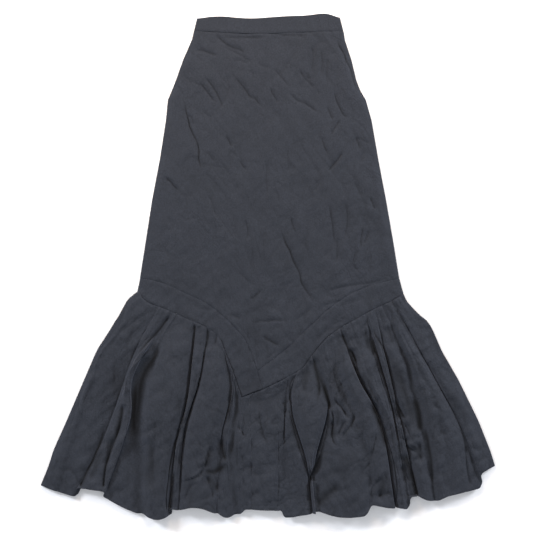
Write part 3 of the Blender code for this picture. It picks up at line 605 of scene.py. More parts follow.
class Line:
    """A smooth line through points, found by its length from the start."""

    def __init__(self, points):
        points = np.array(points, float)
        knots = np.vstack([2 * points[0] - points[1], points, 2 * points[-1] - points[-2]])
        pieces = []
        for before, start, end, after in zip(knots, knots[1:], knots[2:], knots[3:]):
            steps = max(2, int(np.linalg.norm(end - start) / LINE_STEP))
            t = np.linspace(0, 1, steps, endpoint=False)[:, None]
            pieces.append(0.5 * (2 * start + (end - before) * t
                                 + (2 * before - 5 * start + 4 * end - after) * t**2
                                 + (3 * start - 3 * end + after - before) * t**3))
        self.draw(np.vstack([*pieces, knots[-2]]))

    def draw(self, points):
        self.points = points
        self.lengths = np.append(0, np.cumsum(np.linalg.norm(np.diff(points, axis=0), axis=1)))
        self.length = self.lengths[-1]

    def carry_on(self, other):
        """Adds another line that starts where this one ends."""
        self.draw(np.vstack([self.points, other.points[1:]]))

    def at(self, length):
        return np.stack([np.interp(length, self.lengths, self.points[:, axis]) for axis in (0, 1)], -1)

    def length_at_x(self, x):
        return np.interp(x, self.points[:, 0], self.lengths)

    def spread(self, count, start=0.0, end=None):
        """count points, evenly apart."""
        return self.at(np.linspace(start, self.length if end is None else end, count))


def pull_in(grid, edge, distance):
    """Moves one edge of a grid of (x, y) points inwards, which leaves half a seam's gap there."""
    turned = {"first_row": grid, "last_row": grid[::-1],
              "first_column": grid.swapaxes(0, 1), "last_column": grid.swapaxes(0, 1)[::-1]}[edge]
    along = np.gradient(turned[0], axis=0)
    across = np.stack([-along[:, 1], along[:, 0]], 1)
    across /= np.linalg.norm(across, axis=1)[:, None]
    inwards = np.sign(np.sum(across * (turned[2] - turned[0]), axis=1))[:, None]
    turned[0] += across * inwards * distance


def back_lift(x, y):
    """How far the low flutes of the back flounce stand off the surface."""
    across = (x - side(y, "left")) / (side(y, "right") - side(y, "left"))
    open_part = ease((FLOUNCE_TOP_Y - y) / FLOUNCE_DEPTH)
    wave = 0.5 - 0.5 * np.cos(2 * math.pi * BACK_FLUTES * np.clip(across, 0, 1))
    return BACK_FLUTE_HEIGHT * open_part * wave


def room_beside(x, y):
    """How far each place is from the nearer side of the skirt."""
    return np.minimum(x - side(y, "left"), side(y, "right") - x)


def loft(x, y):
    """How far the front cloth stands off the back: round at the sides, nearly level between."""
    below_waist = ease((WAIST_Y - y) / EDGE_ROUND_GROWTH)
    edge = EDGE_ROUND_WAIST + (EDGE_ROUND_BODY - EDGE_ROUND_WAIST) * below_waist
    middle = np.sin(math.pi * np.clip((WAIST_Y - y) / (WAIST_Y - FLOUNCE_TOP_Y), 0, 1))
    return (WAIST_LOFT + BODY_LOFT * middle) * np.sin(math.pi / 2 * np.clip(room_beside(x, y) / edge, 0, 1))


def front_height(x, y):
    """The middle of the front cloth's wall where it isn't folded."""
    return CLOTH + back_lift(x, y) + SEAM_GAP + CLOTH / 2 + loft(x, y)


def spot(px, py):
    """A place in millimetres from its pixel in the photograph."""
    return (px - PHOTO_CENTRE[0]) * MM_PER_PIXEL, (PHOTO_CENTRE[1] - py) * MM_PER_PIXEL


def distance_to(points, x, y):
    """Each place's distance from a line through points, below zero at its right, and its share along."""
    line = Line(points).spread(LINE_SAMPLES * len(points))
    best = np.full(x.shape, np.inf)
    signed = np.zeros(x.shape)
    along = np.zeros(x.shape)
    lengths = np.linalg.norm(np.diff(line, axis=0), axis=1)
    passed = 0.0
    for start, end, length in zip(line, line[1:], lengths):
        run = (end - start) / length
        part = np.clip((x - start[0]) * run[0] + (y - start[1]) * run[1], 0, length)
        away = np.hypot(x - start[0] - part * run[0], y - start[1] - part * run[1])
        turn = run[0] * (y - start[1]) - run[1] * (x - start[0])
        nearer = away < best
        signed = np.where(nearer, np.copysign(away, turn), signed)
        along = np.where(nearer, (passed + part) / lengths.sum(), along)
        best = np.minimum(best, away)
        passed += length
    return signed, along


def creased(creases, x, y):
    """How far the cloth rises or falls at its creases, and how much shade is painted into the colour of each
    place inside one: 0 is on open cloth, 1 in a crease and the deepest painted shade in a slit that no light
    reaches."""
    rise = np.zeros(x.shape)
    inside = np.zeros(x.shape)
    for crease in creases:
        if crease.left is None:
            crease = crease._replace(left=crease.right, left_width=crease.right_width)
        points = np.array([spot(*point) for point in crease.points])
        reach = CREASE_REACH * max(crease.left_width, crease.right_width)
        low, high = points.min(axis=0) - reach, points.max(axis=0) + reach
        near = (x > low[0]) & (x < high[0]) & (y > low[1]) & (y < high[1])
        if not near.any():
            continue
        signed, along = distance_to(points, x[near], y[near])
        fade = ease(along / max(crease.fade_in, LEAST_FADE))
        fade = fade * ease((1 - along) / max(crease.fade_out, LEAST_FADE))
        side_share = ease(signed / CREASE_ROUND / 2 + 0.5)
        height = crease.right + (crease.left - crease.right) * side_share
        width = np.where(signed > 0, crease.left_width, crease.right_width)
        away = np.sqrt(signed**2 + CREASE_ROUND**2) - CREASE_ROUND
        rise[near] += height * fade * np.exp(-away / width)
        # Painted shade: the colour inside a crease is darkened by how far its lower side falls
        depth = np.maximum(-min(crease.right, crease.left) / crease.dark_depth, 0) ** PAINTED_SHADE_POWER
        depth = min(depth, DEEPEST_PAINTED_SHADE)
        side_height = np.where(signed > 0, crease.left, crease.right)
        painted_shade_width = np.where(side_height < 0, np.maximum(PAINTED_SHADE_WIDTH, PAINTED_SHADE_SHARE * width), PAINTED_SHADE_WIDTH / 2)
        inside[near] = np.maximum(inside[near], depth * fade * np.exp(-(signed / painted_shade_width) ** 2))
    return rise, inside


def waves_at(across, along, start):
    """Smooth uneven waves of about 1 high and 1 apart."""
    return np.array([noise.noise(Vector((u, v, start))) for u, v in zip(across, along)])


def crumpled(x, y):
    """Low pillows that never quite press out of woven cloth, with thin creases between them that come
    and go: how far they rise, and how much shade is painted into the colour of each place inside a crease."""
    places_x, places_y = x.ravel(), y.ravel()
    rise = np.zeros(x.size)
    inside = np.zeros(x.size)
    for crumple in CRUMPLES:
        lean = math.radians(crumple.lean)
        across = (places_x * math.cos(lean) - places_y * math.sin(lean)) / crumple.wide
        along = (places_x * math.sin(lean) + places_y * math.cos(lean)) / crumple.long
        waves = waves_at(across, along, crumple.start)
        patches = waves_at(places_x / CRUMPLE_PATCH, places_y / CRUMPLE_PATCH, crumple.start + PATCH_START)
        line = np.exp(-(waves / LINE_SHARP) ** 2) * ease(PATCH_MIDDLE + PATCH_GAIN * patches)
        much = np.interp(places_y, CRUMPLE_ZONES, (crumple.hem, crumple.knee, crumple.waist))
        rise += crumple.height * much * (waves - LINE_DEPTH * line)
        inside = np.maximum(inside, LINE_PAINTED_SHADE * much * line)
    return rise.reshape(x.shape), inside.reshape(x.shape)


def distance_from_edge(plan, edge):
    """How far each point of a grid is from its first or last row, measured along its column."""
    steps = np.linalg.norm(np.diff(plan, axis=0), axis=2)
    first = np.vstack([0 * steps[:1], np.cumsum(steps, axis=0)])
    return first if edge == "first_row" else first[-1] - first


def length_along(plan, edge):
    """How far each column of a grid is from the first one, measured along its first or last row."""
    row = plan[0 if edge == "first_row" else -1]
    return np.append(0, np.cumsum(np.linalg.norm(np.diff(row, axis=0), axis=1)))[None]


def swaying(wave, along):
    """Waves along a seam, some longer and some shorter."""
    sway = wave.sway * np.sin(along / wave.sway_length)
    return wave.height * np.sin(along / wave.length + sway + wave.start)


def seam_shape(away, along):
    """Cloth turns down into a seam, puffs a little beside it and puckers along it, here more, there
    less."""
    uneven = 1 - SEAM_UNEVEN * (0.5 + swaying(SEAM_WAVE, along))
    roll = SEAM_ROLL * uneven * np.exp(-(away / SEAM_ROLL_WIDTH) ** 2)
    puff = SEAM_PUFF * np.exp(-((away - SEAM_PUFF_AT) / SEAM_PUFF_WIDTH) ** 2)
    pucker = swaying(SEAM_PUCKER, along) * uneven
    return puff - roll + pucker * np.exp(-away / PUCKER_REACH) * ease(away / PUCKER_START)


def hem_shape(away):
    """The narrow turned hem is thicker, with a faint line where the turn ends."""
    turned = HEM_TURN_RISE * ease((HEM_TURN + 1 - away) / 2)
    return turned - HEM_LINE * np.exp(-((away - HEM_TURN) / HEM_LINE_WIDTH) ** 2)


def close_rows(length, step, tight=TIGHT_ROWS):
    """Parts of a column's length, evenly apart but closer at both ends, where seams are."""
    near = np.array(tight) / length
    middle = np.linspace(near[-1], 1 - near[-1], max(2, int(length / step)))
    return np.concatenate([[0], near[:-1], middle, 1 - near[-2::-1], [1]])


def blend_rows(top, bottom, down):
    """A grid in straight lines from each top point to its bottom point."""
    down = down[:, None, None]
    return top[None] * (1 - down) + bottom[None] * down


def panel_plan(top_line, bottom, down):
    """The plan of a body panel, whose columns follow the sides from the waist to the bottom line."""
    across = np.append(0, np.cumsum(np.linalg.norm(np.diff(bottom, axis=0), axis=1)))
    across /= across[-1]
    top = top_line.at(across * top_line.length)
    ends = bottom[:, 0] - body_side(bottom[:, 1], "left")
    ends /= body_side(bottom[:, 1], "right") - body_side(bottom[:, 1], "left")
    down = down[:, None]
    y = top[:, 1] * (1 - down) + bottom[:, 1] * down
    share = across + (ends - across) * down**2
    x = body_side(y, "left") * (1 - share) + body_side(y, "right") * share
    plan = np.stack([x, y], axis=2)
    pull_in(plan, "first_row", SEAM_GAP / 2)
    pull_in(plan, "last_row", SHUT_SEAM_GAP / 2)
    return plan


def fold_columns(fold, seam, rows):
    """The plan and the height above the back of each column through one fold."""
    path = Line([seam.at(seam.length_at_x(fold.seam_x)), fold.upper, fold.lower,
                 (fold.hem_x, (fold.hem_left + fold.hem_right) / 2)])
    start = seam.length_at_x(fold.seam_x)
    opened = ease(rows / fold.grow)
    undone = (1 - fold.low) * ease((rows - fold.low_from) / LOW_RUN) * ease((fold.again - rows) / AGAIN_RUN)
    height = GATHER_HEIGHT + (fold.height - GATHER_HEIGHT) * opened
    stations = {"valley": GROOVE, "step": STEP, "plain": LINE, "seam": LINE}.get(fold.kind)
    if not stations:
        stations = [*STACK, Station(BACK_GATHERED, 0.5 + BACK_AT, fold.back / fold.height)]
    if fold.kind == "left":
        stations = [Station(-s.gathered, -s.stacked, s.level) for s in stations[::-1]]
    stacked = ease((height - STACK_START) / (fold.height - STACK_START)) if fold.overlap else opened
    stacked = stacked * (1 - undone)
    width = fold.overlap or GROOVE_HALF_WIDTH
    edge = {"left": -0.5, "right": 0.5}.get(fold.kind, 0)
    centre = path.at(rows * path.length)
    columns = []
    for index, station in enumerate(stations):
        gathered = station.gathered * GATHER_HALF_WIDTH
        shift = gathered * (1 - stacked) + (station.stacked - edge) * width * stacked
        on_seam = seam.at(start + gathered) - seam.at(start)
        left_seam = ease((rows - SEAM_FOLLOW) / (SEAM_LEAVE - SEAM_FOLLOW))
        plan = centre + on_seam * (1 - left_seam)[:, None]
        plan[:, 0] += shift * left_seam
        step = fold.hem_right - fold.hem_left
        part = index / (len(stations) - 1) - 0.5 if len(stations) > 1 else 0
        plan[:, 1] += step * part * rows**HEM_SHAPE_POWER
        level = station.level + (LOW_LEVEL - station.level) * undone
        columns.append((start + gathered, plan, height * level))
    return columns


def between(first, last, count, dome, sag, seam, rows):
    """Columns over the cloth between two folds, which rises by dome and drops the hem by sag."""
    start, start_plan, start_height = first
    end, end_plan, end_height = last
    columns = []
    for share in np.linspace(0, 1, count + 2)[1:-1]:
        level = ease(share)
        if start_height[-1] < end_height[-1]:
            level = level**QUICK_RISE
        else:
            level = 1 - (1 - level) ** QUICK_RISE
        length = start + (end - start) * share
        plan = start_plan * (1 - share) + end_plan * share
        plan = plan + (seam.at(length) - plan[0]) * ((1 - rows) ** PANEL_FOLLOW_POWER)[:, None]
        plan[:, 1] -= sag * math.sin(math.pi * share) * rows**HEM_SHAPE_POWER
        rise = dome * math.sin(math.pi * share) ** DOME_ROUND * ease(rows / DOME_GROW)
        columns.append((length, plan, start_height * (1 - level) + end_height * level + rise))
    return columns


def edge_column(seam, name, corner_y, rows):
    """A side edge of the flounce, from the seam's end to the hem's corner."""
    length = 0 if name == "left" else seam.length
    start = seam.at(length)
    levels = np.linspace(start[1], corner_y, EDGE_STEPS)
    line = Line(np.stack([side(levels, name), levels], axis=1))
    line.points[0] = start
    return length, line.at(rows * line.length), 0 * rows


def flounce_columns(seam, rows):
    """All columns of the front flounce, in three groups that its two seams part."""
    groups = [[edge_column(seam, "left", HEM_CORNER_LEFT, rows)]]
    dome, sag = SIDE_DOME, 0
    for fold in [*FOLDS, None]:
        if fold:
            columns = fold_columns(fold, seam, rows)
        else:
            columns = [edge_column(seam, "right", HEM_CORNER_RIGHT, rows)]
        last, first = groups[-1][-1], columns[0]
        hem_span = abs(first[1][-1][0] - last[1][-1][0])
        count = math.ceil(max(hem_span / HEM_STEP, (first[0] - last[0]) / SEAM_STEP)) - 1
        groups[-1] += between(last, first, max(count, 0), dome, sag, seam, rows) + columns
        if fold and fold.kind == "seam":
            groups.append([columns[0]])
        if fold:
            dome, sag = fold.dome, fold.sag
    return groups


def finer(grid, step):
    """Rounds a grid's columns to a smooth run, as many as its widest row needs."""
    first = 2 * grid[:, :1] - grid[:, 1:2]
    last = 2 * grid[:, -1:] - grid[:, -2:-1]
    knots = np.concatenate([first, grid, last], axis=1)
    steps = np.linalg.norm(np.diff(grid[..., :3], axis=1), axis=2).max(axis=0)
    pieces = []
    for index, span in enumerate(steps):
        t = np.linspace(0, 1, max(1, round(span / step)), endpoint=False)
        weights = [(1 - t) ** 3, 3 * t**3 - 6 * t**2 + 4, -3 * t**3 + 3 * t**2 + 3 * t + 1, t**3]
        four = knots[:, index:index + 4]
        pieces.append(sum(four[:, k, None] * weight[None, :, None] for k, weight in enumerate(weights)) / 6)
    return np.concatenate([*pieces, grid[:, -1:]], axis=1)


def linear(hexes):
    """An sRGB hex colour as the linear values that a shader takes."""
    parts = [int(hexes[place:place + 2], 16) / 255 for place in (1, 3, 5)]
    return [part / 12.92 if part <= 0.04045 else ((part + 0.055) / 1.055) ** 2.4 for part in parts] + [1]


def feed(tree, node, inputs):
    """Gives each named input its value, or links it to another node's output."""
    for name, value in inputs.items():
        if isinstance(value, bpy.types.NodeSocket):
            tree.links.new(value, node.inputs[name])
        else:
            node.inputs[name].default_value = value


def add_node(tree, kind, inputs, settings=(), output=0):
    """Adds a shader node and returns one of its outputs."""
    node = tree.nodes.new("ShaderNode" + kind)
    for name, value in dict(settings).items():
        setattr(node, name, value)
    feed(tree, node, inputs)
    return node.outputs[output]


def new_material(name):
    """A material, its node tree and its shader."""
    material = bpy.data.materials.new(name)
    material.use_nodes = True
    return material, material.node_tree, material.node_tree.nodes["Principled BSDF"]


def wool_twill(name, dark, light):
    """Fine wool twill, piece dyed dark navy grey: matt, with a soft bloom where it turns away,
    a mottle from mixed fibres and slow patches where it has been pressed and worn, and shade painted into
    its colour inside creases and slits.

    Its real twill line is about 0.7 mm apart, which never shows at this size, so it is drawn twice
    as coarse.
    """
    material, tree, shader = new_material(name)
    threads = add_node(tree, "TexCoord", {}, output="UV")
    place = add_node(tree, "TexCoord", {}, output="Object")
    turned = add_node(tree, "Mapping", {"Vector": threads, "Rotation": (0, 0, math.radians(TWILL_TURN))})
    twill = add_node(tree, "TexWave", {"Vector": turned, "Scale": WAVE_SPACING / (WEAVE * MM),
                                       "Distortion": 0.6, "Detail": 1.0},
                     {"wave_type": "BANDS", "bands_direction": "X"}, "Fac")
    fibres = add_node(tree, "TexNoise", {"Vector": place, "Scale": 1 / (HEATHER * MM), "Detail": 5.0,
                                         "Roughness": 0.7}, output="Fac")
    patches = add_node(tree, "TexNoise", {"Vector": place, "Scale": 1 / (FADE * MM), "Detail": 3.0},
                       output="Fac")

    # its colour: mottled, worn in patches, and ribbed
    mottle = add_node(tree, "MapRange", {"Value": fibres, "From Min": 0.3, "From Max": 0.7})
    worn = add_node(tree, "MapRange", {"Value": patches, "From Min": 0.35, "From Max": 0.65,
                                       "To Min": -0.04, "To Max": 0.08})
    mixed = add_node(tree, "Math", {0: mottle, 1: MOTTLE_SHARE, 2: worn}, {"operation": "MULTIPLY_ADD"})
    ribbed = add_node(tree, "Math", {0: twill, 1: TWILL_SHARE, 2: mixed}, {"operation": "MULTIPLY_ADD"})
    colour = add_node(tree, "ValToRGB", {"Fac": ribbed})
    for stop, hexes in zip(colour.node.color_ramp.elements, (dark, light)):
        stop.color = linear(hexes)

    # its relief: threads, nap and hairline creases, which come and go with the patches; the hairline creases
    # also darken the colour as painted shade
    normal = add_node(tree, "Bump", {"Height": twill, "Strength": 0.5, "Distance": 0.12 * MM})
    normal = add_node(tree, "Bump", {"Height": fibres, "Strength": 0.6, "Distance": 0.35 * MM,
                                     "Normal": normal})
    # the shade painted at the mesh's creases, to which the hairline creases add their own
    inside = add_node(tree, "Attribute", {}, {"attribute_name": "crease"}, "Fac")
    kept = add_node(tree, "MapRange", {"Value": patches, "From Min": 0.42, "From Max": 0.6})
    for row in FINE_CREASES:
        leaning = add_node(tree, "Mapping", {"Vector": place, "Rotation": (0, 0, math.radians(-row.lean)),
                                             "Scale": (row.wide * MM, row.long * MM, 1)},
                           {"vector_type": "TEXTURE"})
        waves = add_node(tree, "TexNoise", {"Vector": leaning, "Scale": 1.0, "Detail": 1.0}, output="Fac")
        middle = add_node(tree, "Math", {0: waves, 1: 0.5}, {"operation": "SUBTRACT"})
        away = add_node(tree, "Math", {0: middle}, {"operation": "ABSOLUTE"})
        line = add_node(tree, "MapRange", {"Value": away, "From Max": row.line, "To Min": FINE_PAINTED_SHADE,
                                           "To Max": 0.0}, {"interpolation_type": "SMOOTHSTEP"})
        shown = add_node(tree, "Math", {0: line, 1: kept}, {"operation": "MULTIPLY"})
        inside = add_node(tree, "Math", {0: inside, 1: shown}, {"operation": "MAXIMUM"})
        normal = add_node(tree, "Bump", {"Height": shown, "Strength": 0.7, "Distance": 1.2 * MM,
                                         "Normal": normal}, {"invert": True})

    # painted shade: the colour is darker inside creases, and darkest in slits
    shade = add_node(tree, "MapRange", {"Value": inside, "From Max": DEEPEST_PAINTED_SHADE, "To Min": 1.0,
                                        "To Max": SLIT_PAINTED_SHADE})
    shaded = add_node(tree, "VectorMath", {"Vector": colour, "Scale": shade}, {"operation": "SCALE"})
    feed(tree, shader, {"Base Color": shaded, "Normal": normal, "Roughness": 0.88,
                        "Specular IOR Level": 0.25, "Sheen Weight": 0.22, "Sheen Roughness": 0.45,
                        "Sheen Tint": linear("#9aa0b4")})
    return material


def put(name, data, place=(0, 0, 0)):
    """Adds an object that holds this data to the scene."""
    piece = bpy.data.objects.new(name, data)
    piece.location = place
    bpy.context.scene.collection.objects.link(piece)
    return piece


def make_shell(node, plan, heights, material, inside=None, wall=SHOWN_CLOTH, closed=False):
    """A node's cloth through a grid of points, with its threads' directions in its UV map and, where given,
    the shade painted into its colour at its creases in its crease attribute.
    """
    name = node + "_shell"
    rows, columns = heights.shape
    points = np.concatenate([plan, heights[:, :, None]], axis=2) * MM
    down = np.linalg.norm(np.diff(points, axis=0), axis=2).mean(axis=1)
    across = np.linalg.norm(np.diff(points[rows // 2], axis=0), axis=1)
    v = np.append(0, np.cumsum(down))
    u = np.append(0, np.cumsum(across))
    shape = bmesh.new()
    bmesh.ops.create_grid(shape, x_segments=columns - 1, y_segments=rows - 1, size=1, calc_uvs=True)
    uv = shape.loops.layers.uv.verify()
    for vertex, point in zip(shape.verts, points.reshape(-1, 3)):
        vertex.co = point
    for face in shape.faces:
        for loop in face.loops:
            row, column = divmod(loop.vert.index, columns)
            loop[uv].uv = (u[column], v[row])
    if closed:
        bmesh.ops.remove_doubles(shape, verts=shape.verts, dist=1e-6)
    bmesh.ops.recalc_face_normals(shape, faces=shape.faces)
    mesh = bpy.data.meshes.new(name)
    shape.to_mesh(mesh)
    shape.free()
    mesh.shade_smooth()
    mesh.materials.append(material)
    if inside is not None:
        # the shade painted into the colour at each point's creases
        mesh.attributes.new("crease", "FLOAT", "POINT").data.foreach_set("value", inside.ravel())
    piece = put(name, mesh)
    thickness = piece.modifiers.new("wall", "SOLIDIFY")
    thickness.thickness = wall * MM
    thickness.offset = 0
    return piece


def settle(heights, x, y):
    """Lays front cloth down softly on the back cloth, and rounds off what stands too high."""
    floor = CLOTH + back_lift(x, y) + SHOWN_CLOTH / 2 + LEAST_CLEARANCE
    room = heights - floor
    settled = floor + (room + np.sqrt(room**2 + LIE_FLAT**2)) / 2
    over = np.maximum(settled - TOP_START, 0)
    return settled - over + TOP_ROOM * np.tanh(over / TOP_ROOM)


def wrinkled(x, y, creases):
    """Creases and crumple, whose rise fades out where the cloth lies down at its sides, and how much shade
    is painted into the colour inside them.
    """
    rise, inside = creased(creases, x, y)
    crumple, lines = crumpled(x, y)
    return (crumple + rise) * ease(room_beside(x, y) / SIDE_FADE), np.maximum(inside, lines)


def make_waistband(material):
    """One strip closed to a ring and pressed flat, turned round at the sides."""
    top_line = Line(WAIST_TOP)
    seam_line = Line(WAIST_SEAM)
    low = WAISTBAND_CLOTH / 2
    high = CLOTH + SEAM_GAP + CLOTH / 2 + WAIST_LOFT
    radius = (high - low) / 2
    straight = np.linspace(0, 1, WAISTBAND_POINTS)
    turn = np.linspace(-math.pi / 2, math.pi / 2, WAISTBAND_TURN_POINTS)[1:-1]
    out = np.concatenate([0 * straight, np.cos(turn), 0 * straight, -np.cos(turn), [0]])
    level = np.concatenate([-1 + 0 * straight, np.sin(turn), 1 + 0 * straight, -np.sin(turn), [-1]])
    share = np.concatenate([straight, 1 + 0 * turn, straight[::-1], 0 * turn, [0]])
    rows = []
    for up in close_rows(WAISTBAND_WIDTH, WAISTBAND_STEP, WAISTBAND_ROWS):
        row = seam_line.at(seam_line.length * share) * (1 - up) + top_line.at(top_line.length * share) * up
        middle = row[:, 0].mean()
        inside = (row[:, 0] - middle) * (1 - (radius + low) / (row[:, 0].max() - middle)) + middle
        rows.append(np.stack([inside + out * radius, row[:, 1]], axis=1))
    plan = np.array(rows)
    plan[0, :, 1] += SEAM_GAP
    heights = np.tile(low + radius * (1 + level), (len(rows), 1))
    on_front = ease(level)[None]
    away = distance_from_edge(plan, "first_row")
    x, y = plan[..., 0], plan[..., 1]
    stiff, _ = crumpled(x * WAISTBAND_PATTERN[0], y * WAISTBAND_PATTERN[1])
    heights = heights + on_front * (seam_shape(away, x) * WAISTBAND_SEAM + stiff * WAISTBAND_CRUMPLE)
    return make_shell("waistband", plan, heights, material, wall=WAISTBAND_SHOWN, closed=True)


def back_seam(seam, count):
    """A plain, slightly bowed seam across the back, from side to side."""
    end_y, bow = seam
    across = np.linspace(0, 1, count + 1)
    y = end_y - bow * (1 - (2 * across - 1) ** 2)
    x = side(y, "left") * (1 - across) + side(y, "right") * across
    return np.stack([x, y], axis=1)


def lifted(plan, most):
    """Creases of cloth that lies on the surface: it can only stand off it, and by no more than most. Shade
    is painted into the colour along its thin creases.
    """
    x, y = plan[..., 0], plan[..., 1]
    rise, inside = crumpled(x + BACK_PATTERN_SHIFT, y)
    edges = np.minimum(distance_from_edge(plan, "first_row"), distance_from_edge(plan, "last_row"))
    room = np.minimum(room_beside(x, y), edges)
    return most * np.tanh(np.maximum(rise, 0) / most) * ease(room / SIDE_FADE), inside


def make_back(material):
    """The back panel, band and flounce, flat on the surface."""
    pieces = {}
    rest = SHOWN_CLOTH / 2
    plan = panel_plan(Line(WAIST_SEAM), back_seam(BACK_BAND_TOP, PANEL_SPANS),
                      close_rows(BACK_PANEL_LENGTH, BACK_STEP))
    rise, inside = lifted(plan, BACK_PANEL_CRUMPLE)
    pieces["back_panel"] = make_shell("back_panel", plan, rest + rise, material, inside)
    low = back_seam(BACK_BAND_LOW, FLOUNCE_SPANS)
    band = blend_rows(back_seam(BACK_BAND_TOP, FLOUNCE_SPANS), low,
                      close_rows(BACK_BAND_WIDTH, BACK_BAND_STEP, BACK_BAND_ROWS))
    pull_in(band, "first_row", SEAM_GAP / 2)
    pull_in(band, "last_row", SEAM_GAP / 2)
    lift = back_lift(band[..., 0], band[..., 1])
    pieces["back_band"] = make_shell("back_band", band, rest + lift, material)

    hem = np.array(BACK_HEM, float)
    across = np.linspace(0, 1, len(low))
    hem_y = np.full(across.shape, hem[:, 1].mean())
    for _ in range(HEM_SEARCH_STEPS):
        hem_x = side(hem_y, "left") * (1 - across) + side(hem_y, "right") * across
        hem_y = np.interp(hem_x, hem[:, 0], hem[:, 1])
    down = close_rows(BACK_FLOUNCE_LENGTH, BACK_STEP)[:, None]
    y = low[:, 1] * (1 - down) + hem_y * down
    x = side(y, "left") * (1 - across) + side(y, "right") * across
    flounce = np.stack([x, y], axis=2)
    pull_in(flounce, "first_row", SEAM_GAP / 2)
    lift = back_lift(flounce[..., 0], flounce[..., 1])
    rise, inside = lifted(flounce, BACK_CRUMPLE)
    pieces["back_flounce"] = make_shell("back_flounce", flounce, rest + lift + rise, material, inside)
    return pieces


def make_body_cloth(node, plan, creases, material):
    """Body cloth on its plan, wrinkled, and swollen along its upper and lower seams."""
    x, y = plan[..., 0], plan[..., 1]
    rise, inside = wrinkled(x, y, creases)
    heights = front_height(x, y) + rise
    for edge in ("first_row", "last_row"):
        heights += seam_shape(distance_from_edge(plan, edge), length_along(plan, edge))
    return make_shell(node, plan, settle(heights, x, y), material, inside)


def make_front(material):
    """The front panel with its pointed end, and the two strips of the band below it."""
    pieces = {}
    left_line, right_line = Line(BAND_TOP_LEFT), Line(BAND_TOP_RIGHT)
    left = left_line.spread(round(left_line.length / BODY_STEP) + 1)
    right = right_line.spread(round(right_line.length / BODY_STEP) + 1)
    creases = [Crease(row.points, -row.depth, row.width, fade_in=TROUGH_FADE, fade_out=TROUGH_FADE,
                      dark_depth=BODY_PAINTED_SHADE_DEPTH) for row in BODY_TROUGHS]
    creases.append(TIP_STAND)
    plan = panel_plan(Line(WAIST_SEAM), np.vstack([left, right[1:]]),
                      close_rows(FRONT_PANEL_LENGTH, BODY_ROW_STEP))
    pieces["front_panel"] = make_body_cloth("front_panel", plan, creases, material)

    low = Line(BAND_LOW_RIGHT)
    through = np.linspace(NOTCH, TIP_RIGHT, BUTT_POINTS)[1:]
    top_left = np.vstack([left, through])
    edges = {
        "front_band_left": (top_left, Line(BAND_LOW_LEFT).spread(len(top_left)), "last_column"),
        "front_band_right": (right, low.spread(len(right), low.length_at_x(TIP_RIGHT[0])), "first_column"),
    }
    for name, (top, bottom, end) in edges.items():
        plan = blend_rows(top, bottom, close_rows(BAND_WIDTH, FINE_ROW_STEP, TIGHT_ROWS[:3]))
        for edge in ("first_row", "last_row", end):
            pull_in(plan, edge, SHUT_SEAM_GAP / 2)
        pieces[name] = make_body_cloth(name, plan, creases, material)
    return pieces


def gathers(length, away):
    """Small uneven puckers where the flounce is eased into its seam."""
    waves = sum(swaying(wave, length) for wave in GATHERS)
    return waves * np.exp(-away / GATHER_REACH) * ease(away / GATHER_START)


def rippled(length, rows):
    """Soft uneven flutes that run down the flounce between its folds."""
    height = np.zeros((len(rows), len(length)))
    for ripple in RIPPLES:
        for row, down in enumerate(rows * FLOUNCE_DEPTH / ripple.long):
            height[row] += [ripple.height * noise.noise(Vector((u / ripple.wide, down, ripple.start)))
                            for u in length]
    return height * ease(rows / RIPPLE_GROW)[:, None]


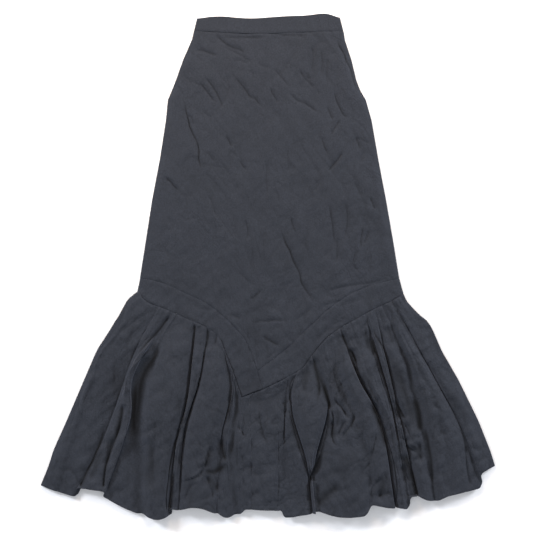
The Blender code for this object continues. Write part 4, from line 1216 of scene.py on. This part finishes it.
def make_front_flounce(material):
    """The three panels of the front flounce, gathered into the seam below the band."""
    pieces = {}
    seam = Line(BAND_LOW_LEFT)
    seam.carry_on(Line(BAND_LOW_RIGHT))
    rows = close_rows(FLOUNCE_LENGTH, FINE_ROW_STEP)
    names = ("front_flounce_left", "front_flounce_centre", "front_flounce_right")
    for name, columns in zip(names, flounce_columns(seam, rows)):
        net = np.concatenate([
            np.stack([plan for _, plan, _ in columns], axis=1),
            np.stack([folded for _, _, folded in columns], axis=1)[..., None],
            np.stack([np.full(len(rows), length) for length, _, _ in columns], axis=1)[..., None],
        ], axis=2)
        grid = finer(net, FINE_STEP)
        plan, folded, length = grid[..., :2], grid[..., 2], grid[0, :, 3]
        plan += (seam.at(length) - plan[0])[None] * ((1 - rows) ** FLOUNCE_FOLLOW_POWER)[:, None, None]
        away = distance_from_edge(plan, "first_row")
        to_hem = distance_from_edge(plan, "last_row")
        pull_in(plan, "first_row", SHUT_SEAM_GAP)
        if name != "front_flounce_left":
            plan[:, 0, 0] += SHUT_SEAM_GAP / 2
        if name != "front_flounce_right":
            plan[:, -1, 0] -= SHUT_SEAM_GAP / 2
        x, y = plan[..., 0], plan[..., 1]
        lofted = loft(x, y) * (1 - ease(rows / LOFT_FADE))[:, None]
        heights = front_height(x, y) - loft(x, y) + lofted + folded * FLOUNCE_HEIGHT
        heights += gathers(length[None], away) * ease((x - side(y, "left")) / SIDE_FADE)
        heights += rippled(length, rows) * ease(room_beside(x, y) / SIDE_FADE)
        rise, inside = wrinkled(x, y, FLOUNCE_CREASES + [TIP_STAND])
        heights += rise + seam_shape(away, length[None]) + hem_shape(to_hem)
        pieces[name] = make_shell(name, plan, settle(heights, x, y), material, inside)
    return pieces


def make_room():
    """A plain pale floor, soft studio light and a camera straight above, as in the photograph."""
    shape = bmesh.new()
    bmesh.ops.create_grid(shape, x_segments=1, y_segments=1, size=FLOOR_HALF)
    mesh = bpy.data.meshes.new("floor")
    shape.to_mesh(mesh)
    shape.free()
    paper, tree, shader = new_material("pale_paper")
    feed(tree, shader, {"Base Color": linear("#f4f4f4"), "Roughness": 0.9})
    mesh.materials.append(paper)
    floor = put("floor", mesh)

    for lamp in LAMPS:
        light = bpy.data.lights.new(lamp.name, "AREA")
        light.size = lamp.size
        light.energy = lamp.power
        light.color = linear(lamp.colour)[:3]
        holder = put(lamp.name, light, lamp.place)
        holder.rotation_euler = (Vector(lamp.aim) - Vector(lamp.place)).to_track_quat("-Z", "Y").to_euler()

    world = bpy.data.worlds.new("studio")
    world.use_nodes = True
    feed(world.node_tree, world.node_tree.nodes["Background"], {"Color": linear("#f3f6fb"), "Strength": 0.5})
    bpy.context.scene.world = world
    bpy.context.scene.view_settings.view_transform = "Standard"

    width = PHOTO_SIDE * MM_PER_PIXEL * MM
    camera = bpy.data.cameras.new("camera")
    camera.sensor_width = SENSOR
    camera.sensor_fit = "HORIZONTAL"
    camera.lens = SENSOR * CAMERA_HEIGHT / width
    across, up = spot(PHOTO_SIDE / 2, PHOTO_SIDE / 2)
    bpy.context.scene.camera = put("camera", camera, (across * MM, up * MM, CAMERA_HEIGHT))


def main():
    make_room()
    cloth = wool_twill("navy_grey_wool_twill", "#1a1d22", "#31353e")
    pieces = {"waistband": make_waistband(cloth)}
    pieces.update(make_back(cloth))
    pieces.update(make_front(cloth))
    pieces.update(make_front_flounce(cloth))
    for node, piece in pieces.items():
        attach(piece, "root")
        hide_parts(node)


main()
